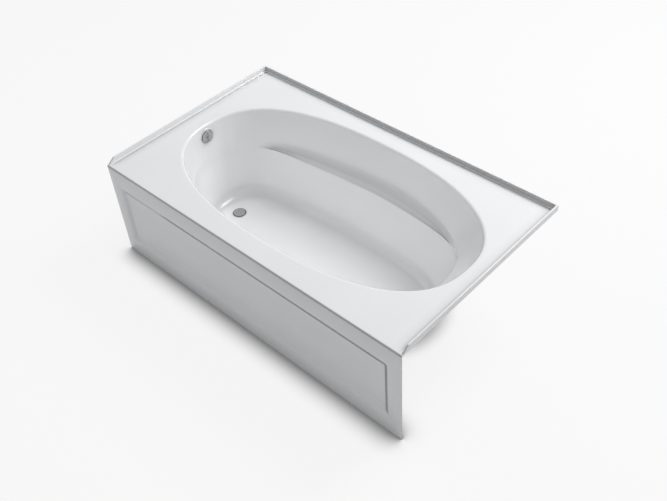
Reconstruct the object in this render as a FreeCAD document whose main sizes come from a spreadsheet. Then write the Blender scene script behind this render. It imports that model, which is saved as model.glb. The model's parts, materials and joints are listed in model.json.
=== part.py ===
"""Alcove bathtub: oval basin with two armrest ledges, integral tile flange, apron with a recessed panel, and a
trip-lever waste and overflow that lifts the stopper.

Frame: X runs along the tub from the drain end (-X) to the backrest end (+X), the apron faces -Y, +Z is up. The
origin is on the floor, under the middle of the tub. All sizes are millimetres.
"""

import FreeCAD, Part
import math
import os
import re

import Sketcher
from FreeCAD import Rotation, Vector

doc = FreeCAD.newDocument("alcove_bathtub")

# ---------------------------------------------------------------------------------------------------------
# Driving dimensions: alias, value, what it is
# ---------------------------------------------------------------------------------------------------------
SIZES = [
    ("overall_length", 1829, "tub length, flange to flange"),
    ("overall_width", 1067, "apron face to the back of the tile flange"),
    ("deck_height", 546, "floor to the top of the deck"),
    ("shell_wall", 5, "acrylic sheet with its glass-fibre backing"),
    ("flange_rise", 26, "tile flange above the deck"),
    ("flange_thickness", 8, "tile flange"),
    ("flange_front_setback", 44, "apron face to where the side flanges reach full height"),
    ("front_edge_radius", 8, "roll of the deck's front edge"),
    ("lip_drop", 10, "top of the deck to the foot of its front lip"),
    # basin: ovals at the rim, at the armrests and at the foot of the walls, with straight walls between
    ("rim_left_margin", 116.5, "tub end to the rim, at the drain end"),
    ("rim_right_margin", 76.5, "tub end to the rim, at the backrest end"),
    ("rim_front_margin", 99.5, "apron face to the rim"),
    ("rim_back_margin", 107.5, "back of the tile flange to the rim"),
    ("rim_roll", 14, "roll of the rim"),
    ("rim_squareness", 2.4, "exponent of the rim oval, where 2 is an ellipse"),
    ("armrest_drop", 214, "deck to the back of the armrest ledges"),
    ("armrest_left_inset", 21, "rim to the wall at armrest height, drain end"),
    ("armrest_right_inset", 141, "rim to the wall at armrest height, backrest end"),
    ("armrest_side_inset", 44, "rim to the wall at armrest height, long sides"),
    ("armrest_fall", 16, "fall of the ledges towards the water"),
    ("armrest_hollow", 18, "hollow where the wall meets the ledge"),
    ("lower_squareness", 2.5, "exponent of the ovals below the rim"),
    ("ledge_edge_inset", 118, "rim to the ledges' edges, long sides"),
    ("ledge_edge_shift", -45, "tub's middle to where the ledges' edges are furthest apart"),
    ("ledge_edge_radius", 5200, "plan radius of the ledges' edges"),
    ("foot_height", 102, "floor to the top of the hollow round the basin floor"),
    ("foot_left_inset", 48, "rim to the foot of the wall, drain end"),
    ("foot_right_inset", 228, "rim to the foot of the wall, backrest end"),
    ("foot_side_inset", 130, "rim to the foot oval, long sides"),
    ("foot_wall_inset", 167, "rim to the feet of the long walls"),
    ("foot_wall_shift", 45, "tub's middle to where the long walls' feet are furthest apart"),
    ("foot_wall_radius", 4500, "plan radius of the long walls' feet"),
    ("floor_hollow", 50, "hollow between the walls and the basin floor"),
    # apron
    ("apron_wall", 5, "apron sheet"),
    ("panel_margin", 73, "apron end to the recessed panel"),
    ("panel_bottom", 100, "floor to the recessed panel"),
    ("panel_top_margin", 98, "top of the apron to the recessed panel"),
    ("panel_depth", 8, "depth of the recess"),
    ("panel_corner_radius", 12, "corners of the recess"),
    ("apron_foot_width", 25, "inward return along the floor"),
    # stiffeners and supports
    ("rail_thickness", 20, "rails and posts"),
    ("rail_depth", 15, "strips under the deck at the back and the ends"),
    ("bottom_rail_depth", 40, "rail along the foot of the apron"),
    ("rail_setback", 8, "outer face of the tub to the back and end rails"),
    ("rail_end_gap", 30, "tub end to the front and back rails"),
    ("front_rail_depth", 75, "rail that bridges the lip and the apron"),
    ("post_width", 36, "posts behind the apron"),
    ("backer_thickness", 12, "board behind the recessed panel"),
    ("backer_margin", 20, "edge of the recess to the board"),
    ("base_thickness", 12, "board under the basin floor"),
    ("base_left_inset", 230, "foot of the end wall to the base board, drain end"),
    ("base_right_inset", 110, "foot of the end wall to the base board, backrest end"),
    ("base_width", 370, "base board"),
    ("runner_width", 42, "cross runners on the floor"),
    ("runner_count", 5, "cross runners on the floor"),
    # drain
    ("waste_shift", -22, "tub's centre line to the drain and the overflow"),
    ("drain_inset", 130, "foot of the end wall to the drain's centre"),
    ("drain_hole_radius", 25.5, "hole in the basin floor"),
    ("gasket_thickness", 3, "rubber washers at the drain and the overflow"),
    ("fit_gap", 0.3, "gap between pieces that slide together"),
    ("running_gap", 0.05, "turning pin in its hole"),
    ("thread_gap", 0.1, "screw in its thread"),
    ("tube_outside", 38.1, "waste tube diameter"),
    ("tube_wall", 1.5, "waste tube"),
    ("pipe_height", 24.6, "floor to the centre of the waste tube"),
    ("shoe_radius", 29, "drain shoe body"),
    ("shoe_flange_radius", 34, "drain shoe top"),
    ("shoe_flange_thickness", 3, "drain shoe top"),
    ("shoe_floor", 3, "drain shoe bottom"),
    ("shoe_ground_gap", 2, "floor to the drain shoe"),
    ("shoe_bore_radius", 23.2, "drain shoe thread"),
    ("strainer_radius", 36.5, "drain flange in the basin floor"),
    ("strainer_rim", 2.4, "raised rim of the drain flange"),
    ("strainer_rim_width", 5, "raised rim of the drain flange"),
    ("strainer_seat", 1.2, "drain flange under the stopper"),
    ("neck_radius", 22.9, "threaded neck of the drain flange"),
    ("neck_bore_radius", 19.5, "neck of the drain flange"),
    ("neck_drop", 22, "basin floor to the bottom of the neck"),
    ("cross_drop", 14, "basin floor to the underside of the neck's cross"),
    ("cross_thickness", 4, "cross in the neck"),
    ("cross_width", 3, "cross in the neck"),
    ("cross_hub_radius", 6, "guide for the stopper's stem"),
    # stopper
    ("stopper_radius", 31, "stopper cap"),
    ("stopper_thickness", 2.4, "stopper cap"),
    ("stopper_edge_radius", 1, "stopper cap"),
    ("seal_radius", 27, "rubber under the stopper cap"),
    ("seal_thickness", 1, "rubber under the stopper cap"),
    ("stem_radius", 3, "stopper stem"),
    ("stem_foot_height", 20.3, "floor to the foot of the stem"),
    ("button_radius", 6, "button on the foot of the stem"),
    ("button_thickness", 3, "button on the foot of the stem"),
    # waste pipes
    ("socket_wall", 1.95, "slip-joint sockets"),
    ("socket_depth", 24, "slip-joint sockets"),
    ("socket_insert", 15, "tube inside a slip-joint socket"),
    ("tee_reach", 40, "tee centre to its side mouth"),
    ("tee_rise", 45, "tee centre to its upper mouth"),
    ("nut_radius", 24.2, "slip nut, centre to corner"),
    ("nut_overlap", 12, "slip nut on its socket"),
    ("nut_shoulder", 4, "closed end of a slip nut"),
    ("washer_thickness", 3, "slip-joint washer"),
    ("outlet_shoulder", 24, "tee centre to the outlet's shoulder"),
    ("outlet_reach", 87, "tee centre to the outlet's end"),
    # overflow
    ("overflow_drop", 64, "deck to the centre of the overflow"),
    ("overflow_hole_radius", 26, "hole in the end wall"),
    ("land_proud", 3.5, "flat land round the overflow hole, in front of the wall"),
    ("land_depth", 11.5, "thickness of the land"),
    ("land_radius", 42, "land round the overflow hole"),
    ("elbow_flange_radius", 38, "overflow elbow"),
    ("elbow_flange_thickness", 4, "overflow elbow"),
    ("elbow_bore_radius", 28, "overflow elbow"),
    ("elbow_wall", 3, "overflow elbow"),
    ("elbow_depth", 45, "overflow elbow behind its flange"),
    ("elbow_drop", 70, "overflow centre to the mouth of the elbow's socket"),
    ("overflow_tube_setback", 27, "elbow face to the overflow tube's centre"),
    ("tab_width", 12, "threaded tabs in the overflow elbow"),
    ("tab_inner", 17, "overflow centre to the threaded tabs"),
    ("plate_radius", 36.5, "overflow plate"),
    ("plate_depth", 5, "overflow plate"),
    ("plate_wall", 1.6, "overflow plate"),
    ("plate_edge_radius", 3.5, "overflow plate"),
    ("slot_half_height", 12, "slot in the overflow plate"),
    ("slot_half_width", 3.3, "slot in the overflow plate"),
    ("screw_offset", 21, "overflow centre to a plate screw"),
    ("screw_radius", 2, "plate screws"),
    ("screw_head_radius", 4, "plate screws"),
    ("screw_head_height", 2, "plate screws"),
    ("screw_hole_radius", 2.3, "holes in the overflow plate"),
    # trip lever and its bracket
    ("pivot_setback", 8, "land face to the lever's pin"),
    ("lever_pin_radius", 2, "pin that the lever turns on"),
    ("lever_hub_radius", 5, "lever round its pin"),
    ("lever_thickness", 5, "lever"),
    ("handle_reach", 34, "lever's pin to the middle of the handle's round end"),
    ("handle_half_height", 2.2, "handle at the plate"),
    ("handle_end_radius", 3.6, "round end of the handle"),
    ("handle_rest_angle", 30, "fall of the handle at rest, in degrees"),
    ("lever_arm", 25.5, "lever's pin to the linkage's pin"),
    ("lever_half_swing", 18, "half of the lever's travel, in degrees"),
    ("arm_half_height", 3, "lever's inner arm"),
    ("arm_end_radius", 4, "lever's inner arm"),
    ("link_pin_radius", 1.5, "pin between the lever and the linkage"),
    ("bracket_wall", 1.5, "bracket behind the overflow plate"),
    ("bracket_half_width", 9, "bracket behind the overflow plate"),
    ("bracket_half_height", 16, "bracket behind the overflow plate"),
    ("cheek_half_height", 6, "bracket round the lever's pin"),
    # linkage
    ("fork_gap", 0.5, "lever arm to the linkage's fork"),
    ("fork_wall", 1.5, "linkage's fork"),
    ("fork_half_length", 6, "linkage's fork"),
    ("fork_above", 5, "linkage's pin to the top of the fork"),
    ("fork_below", 8, "linkage's pin to the bottom of the fork's opening"),
    ("fork_base", 4, "linkage's fork below its opening"),
    ("rod_radius", 2, "linkage rod"),
    ("locknut_radius", 5, "nut on the linkage rod, centre to corner"),
    ("locknut_height", 5, "nut on the linkage rod"),
    ("striker_radius", 7, "weight on the foot of the linkage"),
    ("striker_length", 45, "weight on the foot of the linkage"),
    # rocker arm in the waste tube
    ("rocker_short", 67, "rocker's pivot to the stopper's stem"),
    ("rocker_half_width", 2.5, "rocker strap"),
    ("rocker_half_height", 2.5, "rocker strap"),
    ("belly_radius", 4, "roll that the rocker turns on"),
    ("belly_half_width", 9, "roll that the rocker turns on"),
    ("loop_height", 31, "floor to the rocker's end under the linkage"),
    ("loop_radius", 4, "rocker's end under the linkage"),
    ("loop_half_width", 8, "rocker's end under the linkage"),
    ("tip_radius", 3, "rocker's end under the stopper"),
    ("tip_half_width", 6, "rocker's end under the stopper"),
]

# ---------------------------------------------------------------------------------------------------------
# Places that several pieces share, as formulas of the driving dimensions and of each other
# ---------------------------------------------------------------------------------------------------------
PLACES = {
    "left_end": "0 - overall_length / 2",
    "right_end": "overall_length / 2",
    "front_face": "0 - overall_width / 2",
    "back_face": "overall_width / 2",
    "deck_underside": "deck_height - shell_wall",
    "flange_top": "deck_height + flange_rise",
    "deck_front": "front_face + front_edge_radius",
    # basin
    "rim_left": "left_end + rim_left_margin",
    "rim_right": "right_end - rim_right_margin",
    "basin_shift": "(rim_front_margin - rim_back_margin) / 2",
    "foot_left": "rim_left + foot_left_inset",
    "foot_right": "rim_right - foot_right_inset",
    "basin_floor": "foot_height - floor_hollow",
    "basin_underside": "basin_floor - shell_wall",
    # apron and stiffeners
    "apron_top": "deck_height - lip_drop",
    "apron_rear": "front_face + apron_wall",
    "panel_left": "left_end + panel_margin",
    "panel_right": "right_end - panel_margin",
    "panel_top": "apron_top - panel_top_margin",
    "panel_rear": "apron_rear + panel_depth",
    "front_rail_rear": "apron_rear + rail_thickness",
    "front_rail_top": "deck_height - front_edge_radius",
    "front_rail_bottom": "front_rail_top - front_rail_depth",
    "bottom_rail_top": "apron_wall + bottom_rail_depth",
    "rail_left": "left_end + rail_end_gap",
    "rail_right": "right_end - rail_end_gap",
    "base_left": "foot_left + base_left_inset",
    "base_right": "foot_right - base_right_inset",
    "base_bottom": "basin_underside - base_thickness",
    # drain and stopper
    "drain_x": "foot_left + drain_inset",
    "shoe_top": "basin_underside - gasket_thickness",
    "shoe_bottom": "shoe_ground_gap + shoe_floor",
    "seal_bottom": "basin_floor + strainer_seat",
    "stopper_bottom": "seal_bottom + seal_thickness",
    # overflow
    "overflow_height": "deck_height - overflow_drop",
    "wall_share": "(armrest_drop - overflow_drop) / (armrest_drop - rim_roll)",
    "overflow_wall": "rim_left + armrest_left_inset - (armrest_left_inset - rim_roll) * wall_share",
    "land_x": "overflow_wall + land_proud",
    "land_back": "land_x - land_depth",
    "elbow_face": "land_back - gasket_thickness",
    "elbow_back": "elbow_face - elbow_flange_thickness - elbow_depth",
    "elbow_mouth": "overflow_height - elbow_drop",
    "plate_front": "land_x + plate_depth",
    "plate_inside": "plate_front - plate_wall",
    # waste pipes
    "tube_x": "elbow_face - overflow_tube_setback",
    "tube_radius": "tube_outside / 2",
    "tube_bore": "tube_radius - tube_wall",
    "socket_bore": "tube_radius + fit_gap",
    "socket_radius": "socket_bore + socket_wall",
    "tee_top": "pipe_height + tee_rise",
    "tee_left": "tube_x - outlet_shoulder",
    "outlet_end": "tube_x - outlet_reach",
    "outlet_step": "socket_radius - tube_radius",
    "tee_right": "tube_x + tee_reach",
    # lever, linkage and rocker
    "pivot_x": "land_x - pivot_setback",
    "cheek_inner": "lever_thickness / 2 + 2 * fit_gap",
    "cheek_outer": "cheek_inner + bracket_wall",
    "rod_x": "pivot_x - lever_arm * (1 + cos(lever_half_swing)) / 2",
    "link_pin_height": "overflow_height + lever_arm * sin(lever_half_swing)",
    "fork_inner": "lever_thickness / 2 + fork_gap",
    "fork_outer": "fork_inner + fork_wall",
    "rod_top": "link_pin_height - fork_below - fork_base",
    "striker_bottom": "loop_height + loop_radius + fit_gap",
    "striker_top": "striker_bottom + striker_length",
    "rocker_x": "drain_x - rocker_short",
    "belly_seat": "pipe_height - sqrt(tube_bore ^ 2 - belly_half_width ^ 2)",
    "rocker_height": "belly_seat + fit_gap + belly_radius",
    "tip_height": "stem_foot_height - fit_gap - tip_radius",
}

sheet = doc.addObject("Spreadsheet::Sheet", "Sizes")
for row, (alias, value, note) in enumerate(SIZES, start=1):
    sheet.set("A%d" % row, note)
    sheet.set("B%d" % row, str(value))
    sheet.setAlias("B%d" % row, alias)
doc.recompute()
ALIASES = {alias for alias, value, note in SIZES}

TURN = {
    "X": Rotation(Vector(0, 1, 0), 90),
    "Y": Rotation(Vector(1, 0, 0), -90),
    "Z": Rotation(),
}
EDGE_MATCH = 0.01  # how closely an edge's place has to agree when a fillet picks it
parts = []


# ---------------------------------------------------------------------------------------------------------
# Helpers
# ---------------------------------------------------------------------------------------------------------
def size(alias):
    """Value of one driving dimension."""
    return float(sheet.get(alias))


def formula(text):
    """A formula with each place written out and each driving dimension pointed at its cell."""

    def written_out(match):
        word = match[0]
        if word in PLACES:
            return "(" + formula(PLACES[word]) + ")"
        return "Sizes." + word if word in ALIASES else word

    return re.sub(r"\b[a-z_]+\b", written_out, text)


def bind(item, **formulas):
    for name, text in formulas.items():
        item.setExpression(name.replace("__", "."), formula(text))
    return item


def place(item, x, y, z):
    return bind(item, Placement__Base__x=x, Placement__Base__y=y, Placement__Base__z=z)


def box(name, x, y, z):
    """A box from pairs of lower and upper bounds."""
    item = doc.addObject("Part::Box", name)
    bind(item, Length="(%s) - (%s)" % (x[1], x[0]))
    bind(item, Width="(%s) - (%s)" % (y[1], y[0]))
    bind(item, Height="(%s) - (%s)" % (z[1], z[0]))
    return place(item, x[0], y[0], z[0])


def rod(name, axis, start, radius, length):
    """A cylinder from its start along +axis."""
    item = doc.addObject("Part::Cylinder", name)
    item.Placement.Rotation = TURN[axis]
    bind(item, Radius=radius, Height=length)
    return place(item, *start)


def prism(name, axis, sides, start, corner_radius, length):
    """A regular prism from its start along +axis."""
    item = doc.addObject("Part::Prism", name)
    item.Polygon = sides
    item.Placement.Rotation = TURN[axis]
    bind(item, Circumradius=corner_radius, Height=length)
    return place(item, *start)


def fuse(name, *items):
    item = doc.addObject("Part::MultiFuse", name)
    item.Shapes = list(items)
    return item


def cut(name, base, *tools):
    item = doc.addObject("Part::Cut", name)
    item.Base = base
    item.Tool = tools[0] if len(tools) == 1 else fuse(name + "_tools", *tools)
    return item


def ring(name, axis, start, outside, inside, length):
    """A washer or tube from its start along +axis."""
    outer = rod(name + "_outside", axis, start, outside, length)
    return cut(name, outer, rod(name + "_hole", axis, start, inside, length))


def fixed_shape(name, shape):
    item = doc.addObject("Part::Feature", name)
    item.Shape = shape
    return item


def node(item, label):
    """Names a finished piece, which becomes one file."""
    item.Label = label
    parts.append(item)


def new_body(name, x, y, z, axis="Z"):
    """A body whose own Z runs along the given axis."""
    body = doc.addObject("PartDesign::Body", name)
    body.Placement.Rotation = TURN[axis]
    return place(body, x, y, z)


def sketch_on(body, role, name, offset="0"):
    sketch = body.newObject("Sketcher::SketchObject", name)
    base_plane = next(f for f in body.Origin.OriginFeatures if f.Role == role)
    sketch.AttachmentSupport = [(base_plane, "")]
    sketch.MapMode = "FlatFace"
    return bind(sketch, AttachmentOffset__Base__z=offset)


def pin_point(sketch, geometry, end, start, corner):
    """Binds one point of a sketch to two formulas, measured from the sketch's origin."""
    for kind, value, text in zip(("DistanceX", "DistanceY"), start, corner):
        index = sketch.addConstraint(Sketcher.Constraint(kind, -1, 1, geometry, end, value))
        sketch.setExpression("Constraints[%d]" % index, formula(text))


def outline(sketch, corners):
    """Closed outline of straight lines between corners given as formulas."""
    count = len(corners)
    turns = [2 * math.pi * k / count for k in range(count)]
    start = [Vector(math.cos(turn), math.sin(turn), 0) for turn in turns]
    for k in range(count):
        sketch.addGeometry(Part.LineSegment(start[k], start[(k + 1) % count]), False)
    for k in range(count):
        sketch.addConstraint(Sketcher.Constraint("Coincident", k, 2, (k + 1) % count, 1))
    for k, corner in enumerate(corners):
        pin_point(sketch, k, 1, (start[k].x, start[k].y), corner)
    return sketch


def rectangle(sketch, x, y):
    """Rectangle from pairs of lower and upper bounds."""
    return outline(sketch, [(x[0], y[0]), (x[1], y[0]), (x[1], y[1]), (x[0], y[1])])


def circle(sketch, centre, radius):
    index = sketch.addGeometry(Part.Circle(Vector(1, 1, 0), Vector(0, 0, 1), 1), False)
    pin_point(sketch, index, 3, (1.0, 1.0), centre)
    radius_index = sketch.addConstraint(Sketcher.Constraint("Radius", index, 1.0))
    sketch.setExpression("Constraints[%d]" % radius_index, formula(radius))
    return sketch


def feature(body, kind, sketch, name, length, reverse=False, midplane=False):
    """A pad or a pocket of a sketch."""
    item = body.newObject("PartDesign::" + kind, name)
    item.Profile = sketch
    item.Reversed = reverse
    item.Midplane = midplane
    bind(item, Length=length)
    doc.recompute()
    return item


def turned(body, sketch, name):
    """A full turn of a sketch on the XZ plane about the body's own Z."""
    item = body.newObject("PartDesign::Revolution", name)
    item.Profile = sketch
    item.ReferenceAxis = (sketch, ["V_Axis"])
    item.Angle = 360
    doc.recompute()


def rounded(body, base, name, radius, picked):
    """Fillet of the edges of a feature that a test picks."""
    edges = ["Edge%d" % k for k, edge in enumerate(base.Shape.Edges, start=1) if picked(edge)]
    item = body.newObject("PartDesign::Fillet", name)
    item.Base = (base, edges)
    bind(item, Radius=radius)
    doc.recompute()


# ---------------------------------------------------------------------------------------------------------
# Tub shell: deck, tile flange, front lip and basin
# ---------------------------------------------------------------------------------------------------------
OVAL_POINTS = 72
BLEND_SHARPNESS = 16  # how tightly the long walls run into the end walls
LEDGE_REAR = 0.2  # where the ledge leaves its hollow, as a share of the ledge and of the hollow
LEDGE_FRONT = 0.82  # where the ledge begins to roll over, as a share of the ledge
ROLL_FALL = 0.6  # fall of the ledge before it rolls over, as a share of its whole fall


def between(low, high, share):
    return low + (high - low) * share


def oval(left_inset, right_inset, side_inset, squareness, wall):
    """Plan of the basin at one height, by its insets from the rim. wall gives the long walls' inset from the rim,
    their widest place and their plan radius."""
    left = -size("overall_length") / 2 + size("rim_left_margin") + left_inset
    right = size("overall_length") / 2 - size("rim_right_margin") - right_inset
    rim_half_width = (size("overall_width") - size("rim_front_margin") - size("rim_back_margin")) / 2
    return {
        "centre": (left + right) / 2,
        "length": (right - left) / 2,
        "width": rim_half_width - side_inset,
        "squareness": squareness,
        "wall": rim_half_width - wall[0],
        "wall_centre": wall[1],
        "wall_radius": wall[2],
    }


def oval_points(plan, level, grow, ledge_share):
    """A plan drawn at a level and grown outwards. ledge_share runs from 0, where the full oval shows, to 1, where
    the long walls have taken the sides in."""
    centre_y = (size("rim_front_margin") - size("rim_back_margin")) / 2
    power = 2 / plan["squareness"]
    points = []
    for k in range(OVAL_POINTS):
        turn = 2 * math.pi * k / OVAL_POINTS
        reach = (plan["length"] + grow) * abs(math.cos(turn)) ** power
        x = plan["centre"] + math.copysign(reach, math.cos(turn))
        full = (plan["width"] + grow) * abs(math.sin(turn)) ** power
        wall = plan["wall"] + grow - (x - plan["wall_centre"]) ** 2 / (2 * plan["wall_radius"])
        sum_of_powers = full**BLEND_SHARPNESS + wall**BLEND_SHARPNESS
        narrow = full * wall / sum_of_powers ** (1 / BLEND_SHARPNESS)
        y = math.copysign(between(full, narrow, ledge_share), math.sin(turn))
        points.append(Vector(x, y + centre_y, level))
    return points


def basin_solid(wall):
    """The basin's hollow, or with a wall thickness, the solid that its outer surface bounds."""
    deck = size("deck_height")
    roll = size("rim_roll")
    ledge = deck - size("armrest_drop")
    hollow = size("armrest_hollow")
    fall = size("armrest_fall")
    foot = size("foot_height")
    corner = size("floor_hollow")
    ledge_wall = (size("ledge_edge_inset"), size("ledge_edge_shift"), size("ledge_edge_radius"))
    foot_wall = (size("foot_wall_inset"), size("foot_wall_shift"), size("foot_wall_radius"))
    rim_plan = oval(roll, roll, roll, size("rim_squareness"), ledge_wall)
    armrest_insets = [size("armrest_%s_inset" % side) for side in ("left", "right", "side")]
    armrest_plan = oval(*armrest_insets, size("lower_squareness"), ledge_wall)
    foot_insets = [size("foot_%s_inset" % side) for side in ("left", "right", "side")]
    foot_plan = oval(*foot_insets, size("lower_squareness"), foot_wall)

    rings = []
    if wall:
        rings.append((rim_plan, deck - wall, roll, 0))
    else:
        rings.append((rim_plan, deck + roll, roll, 0))
        for turn in (0, math.radians(30), math.radians(60)):
            rings.append((rim_plan, deck - roll * (1 - math.cos(turn)), roll * (1 - math.sin(turn)), 0))
    rings.append((rim_plan, deck - roll - wall, wall, 0))
    rings.append((armrest_plan, ledge + hollow - wall, wall, 0))
    rear_level = ledge + LEDGE_REAR * hollow
    rings.append((armrest_plan, rear_level - wall, wall, LEDGE_REAR))
    rings.append((armrest_plan, rear_level - ROLL_FALL * fall - wall, wall, LEDGE_FRONT))
    rings.append((armrest_plan, ledge - fall - wall, wall, 1))
    for turn in (0, math.radians(30), math.radians(60), math.radians(90)):
        level = foot - wall - corner * math.sin(turn)
        rings.append((foot_plan, level, wall - corner * (1 - math.cos(turn)), 1))

    wires = []
    for plan, level, grow, ledge_share in rings:
        curve = Part.BSplineCurve()
        curve.interpolate(Points=oval_points(plan, level, grow, ledge_share), PeriodicFlag=True)
        wires.append(Part.Wire([curve.toShape()]))
    return Part.makeLoft(wires, True, True)


def lip_solid():
    """The deck's rolled front edge, which turns down to meet the apron."""
    end = -size("overall_length") / 2
    front = -size("overall_width") / 2
    top = size("deck_height")
    outer = size("front_edge_radius")
    inner = outer - size("shell_wall")
    bottom = top - size("lip_drop")
    centre = Vector(end, front + outer, top - outer)

    def on_roll(radius, degrees):
        turn = math.radians(degrees)
        return centre + Vector(0, -radius * math.cos(turn), radius * math.sin(turn))

    outer_foot = Vector(end, front, bottom)
    inner_foot = Vector(end, front + size("shell_wall"), bottom)
    edges = [
        Part.LineSegment(outer_foot, on_roll(outer, 0)),
        Part.Arc(on_roll(outer, 0), on_roll(outer, 45), on_roll(outer, 90)),
        Part.LineSegment(on_roll(outer, 90), on_roll(inner, 90)),
        Part.Arc(on_roll(inner, 90), on_roll(inner, 45), on_roll(inner, 0)),
        Part.LineSegment(on_roll(inner, 0), inner_foot),
        Part.LineSegment(inner_foot, outer_foot),
    ]
    profile = Part.Face(Part.Wire([edge.toShape() for edge in edges]))
    return profile.extrude(Vector(size("overall_length"), 0, 0))


def side_flange(name, x):
    """Tile flange at one end: full height at the back, sloping down to the deck's front edge."""
    body = new_body(name, x, "0", "0")
    corners = [
        ("deck_front", "deck_underside"),
        ("back_face", "deck_underside"),
        ("back_face", "flange_top"),
        ("front_face + flange_front_setback", "flange_top"),
        ("deck_front", "deck_height"),
    ]
    sketch = outline(sketch_on(body, "YZ_Plane", name + "_outline"), corners)
    feature(body, "Pad", sketch, name + "_pad", "flange_thickness")
    return body


def make_shell():
    length = ("left_end", "right_end")
    walls = fuse(
        "shell_outside",
        box("deck", length, ("deck_front", "back_face"), ("deck_underside", "deck_height")),
        fixed_shape("front_lip", lip_solid()),
        box(
            "back_flange",
            length,
            ("back_face - flange_thickness", "back_face"),
            ("deck_underside", "flange_top"),
        ),
        side_flange("left_flange", "left_end"),
        side_flange("right_flange", "right_end - flange_thickness"),
        fixed_shape("basin_outside", basin_solid(size("shell_wall"))),
    )
    hollow = cut("shell_hollow", walls, fixed_shape("basin_inside", basin_solid(0)))
    centre = ("waste_shift", "overflow_height")
    land = rod("overflow_land", "X", ("land_back", *centre), "land_radius", "land_depth")
    hole_start = ("land_back - land_depth", *centre)
    overflow_hole = rod("overflow_hole", "X", hole_start, "overflow_hole_radius", "3 * land_depth")
    drain_start = ("drain_x", "waste_shift", "basin_underside - shell_wall")
    drain_hole = rod("drain_hole", "Z", drain_start, "drain_hole_radius", "3 * shell_wall")
    node(cut("shell", fuse("shell_with_land", hollow, land), overflow_hole, drain_hole), "tub_shell")


# ---------------------------------------------------------------------------------------------------------
# Front apron: a formed sheet with a recessed panel and a return along the floor
# ---------------------------------------------------------------------------------------------------------
def make_apron():
    body = new_body("apron", "0", "front_face", "0")
    length = ("left_end", "right_end")
    skin = rectangle(sketch_on(body, "XZ_Plane", "skin_outline"), length, ("0", "apron_top"))
    feature(body, "Pad", skin, "skin", "apron_wall", reverse=True)
    boss = rectangle(
        sketch_on(body, "XZ_Plane", "boss_outline"),
        ("panel_left - apron_wall", "panel_right + apron_wall"),
        ("panel_bottom - apron_wall", "panel_top + apron_wall"),
    )
    pressed = feature(body, "Pad", boss, "pressed_back", "panel_depth + apron_wall", reverse=True)

    def corner_edges(start_y):
        """Picks the edges that run through the sheet by the recess's depth, from a place behind the face."""

        def picked(edge):
            bounds = edge.BoundBox
            depth_fits = abs(bounds.YLength - size("panel_depth")) < EDGE_MATCH
            return depth_fits and abs(bounds.YMin - start_y) < EDGE_MATCH

        return picked

    outer_radius = "panel_corner_radius + apron_wall"
    rounded(body, pressed, "pressed_corners", outer_radius, corner_edges(size("apron_wall")))
    recess = sketch_on(body, "XZ_Plane", "recess_outline")
    rectangle(recess, ("panel_left", "panel_right"), ("panel_bottom", "panel_top"))
    panel = feature(body, "Pocket", recess, "recess", "panel_depth")
    rounded(body, panel, "recess_corners", "panel_corner_radius", corner_edges(0))
    foot = rectangle(sketch_on(body, "XZ_Plane", "foot_outline"), length, ("0", "apron_wall"))
    feature(body, "Pad", foot, "foot", "apron_foot_width", reverse=True)
    node(body, "front_apron")


# ---------------------------------------------------------------------------------------------------------
# Stiffeners under the deck and behind the apron, and the supports under the basin
# ---------------------------------------------------------------------------------------------------------
def make_apron_frame():
    span = ("rail_left", "rail_right")
    across = ("apron_rear", "front_rail_rear")
    node(box("front_rail", span, across, ("front_rail_bottom", "front_rail_top")), "deck_rail_front")
    node(box("low_rail", span, across, ("apron_wall", "bottom_rail_top")), "apron_bottom_rail")
    between_rails = ("bottom_rail_top", "front_rail_bottom")
    left = ("rail_left", "rail_left + post_width")
    right = ("rail_right - post_width", "rail_right")
    node(box("post_left", left, across, between_rails), "apron_post_left")
    node(box("post_right", right, across, between_rails), "apron_post_right")
    backer = box(
        "backer",
        ("panel_left + backer_margin", "panel_right - backer_margin"),
        ("panel_rear", "panel_rear + backer_thickness"),
        ("panel_bottom + backer_margin", "panel_top - backer_margin"),
    )
    node(backer, "apron_backer_board")


def make_deck_rails():
    heights = ("deck_underside - rail_depth", "deck_underside")
    rear = "back_face - rail_setback"
    back = box("back_rail", ("rail_left", "rail_right"), (rear + " - rail_thickness", rear), heights)
    node(back, "deck_rail_back")
    along = ("front_rail_rear", rear)
    left = "left_end + rail_setback"
    right = "right_end - rail_setback"
    node(box("left_rail", (left, left + " + rail_thickness"), along, heights), "deck_rail_left")
    node(box("right_rail", (right + " - rail_thickness", right), along, heights), "deck_rail_right")


def make_base():
    across = ("basin_shift - base_width / 2", "basin_shift + base_width / 2")
    board = box("base", ("base_left", "base_right"), across, ("base_bottom", "basin_underside"))
    node(board, "base_board")
    step = "(base_right - base_left - runner_width) / (runner_count - 1)"
    for k in range(int(size("runner_count"))):
        start = "base_left + %d * %s" % (k, step)
        runner = box("runner_%d" % (k + 1), (start, start + " + runner_width"), across, ("0", "base_bottom"))
        node(runner, "base_runner_%d" % (k + 1))


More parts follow.
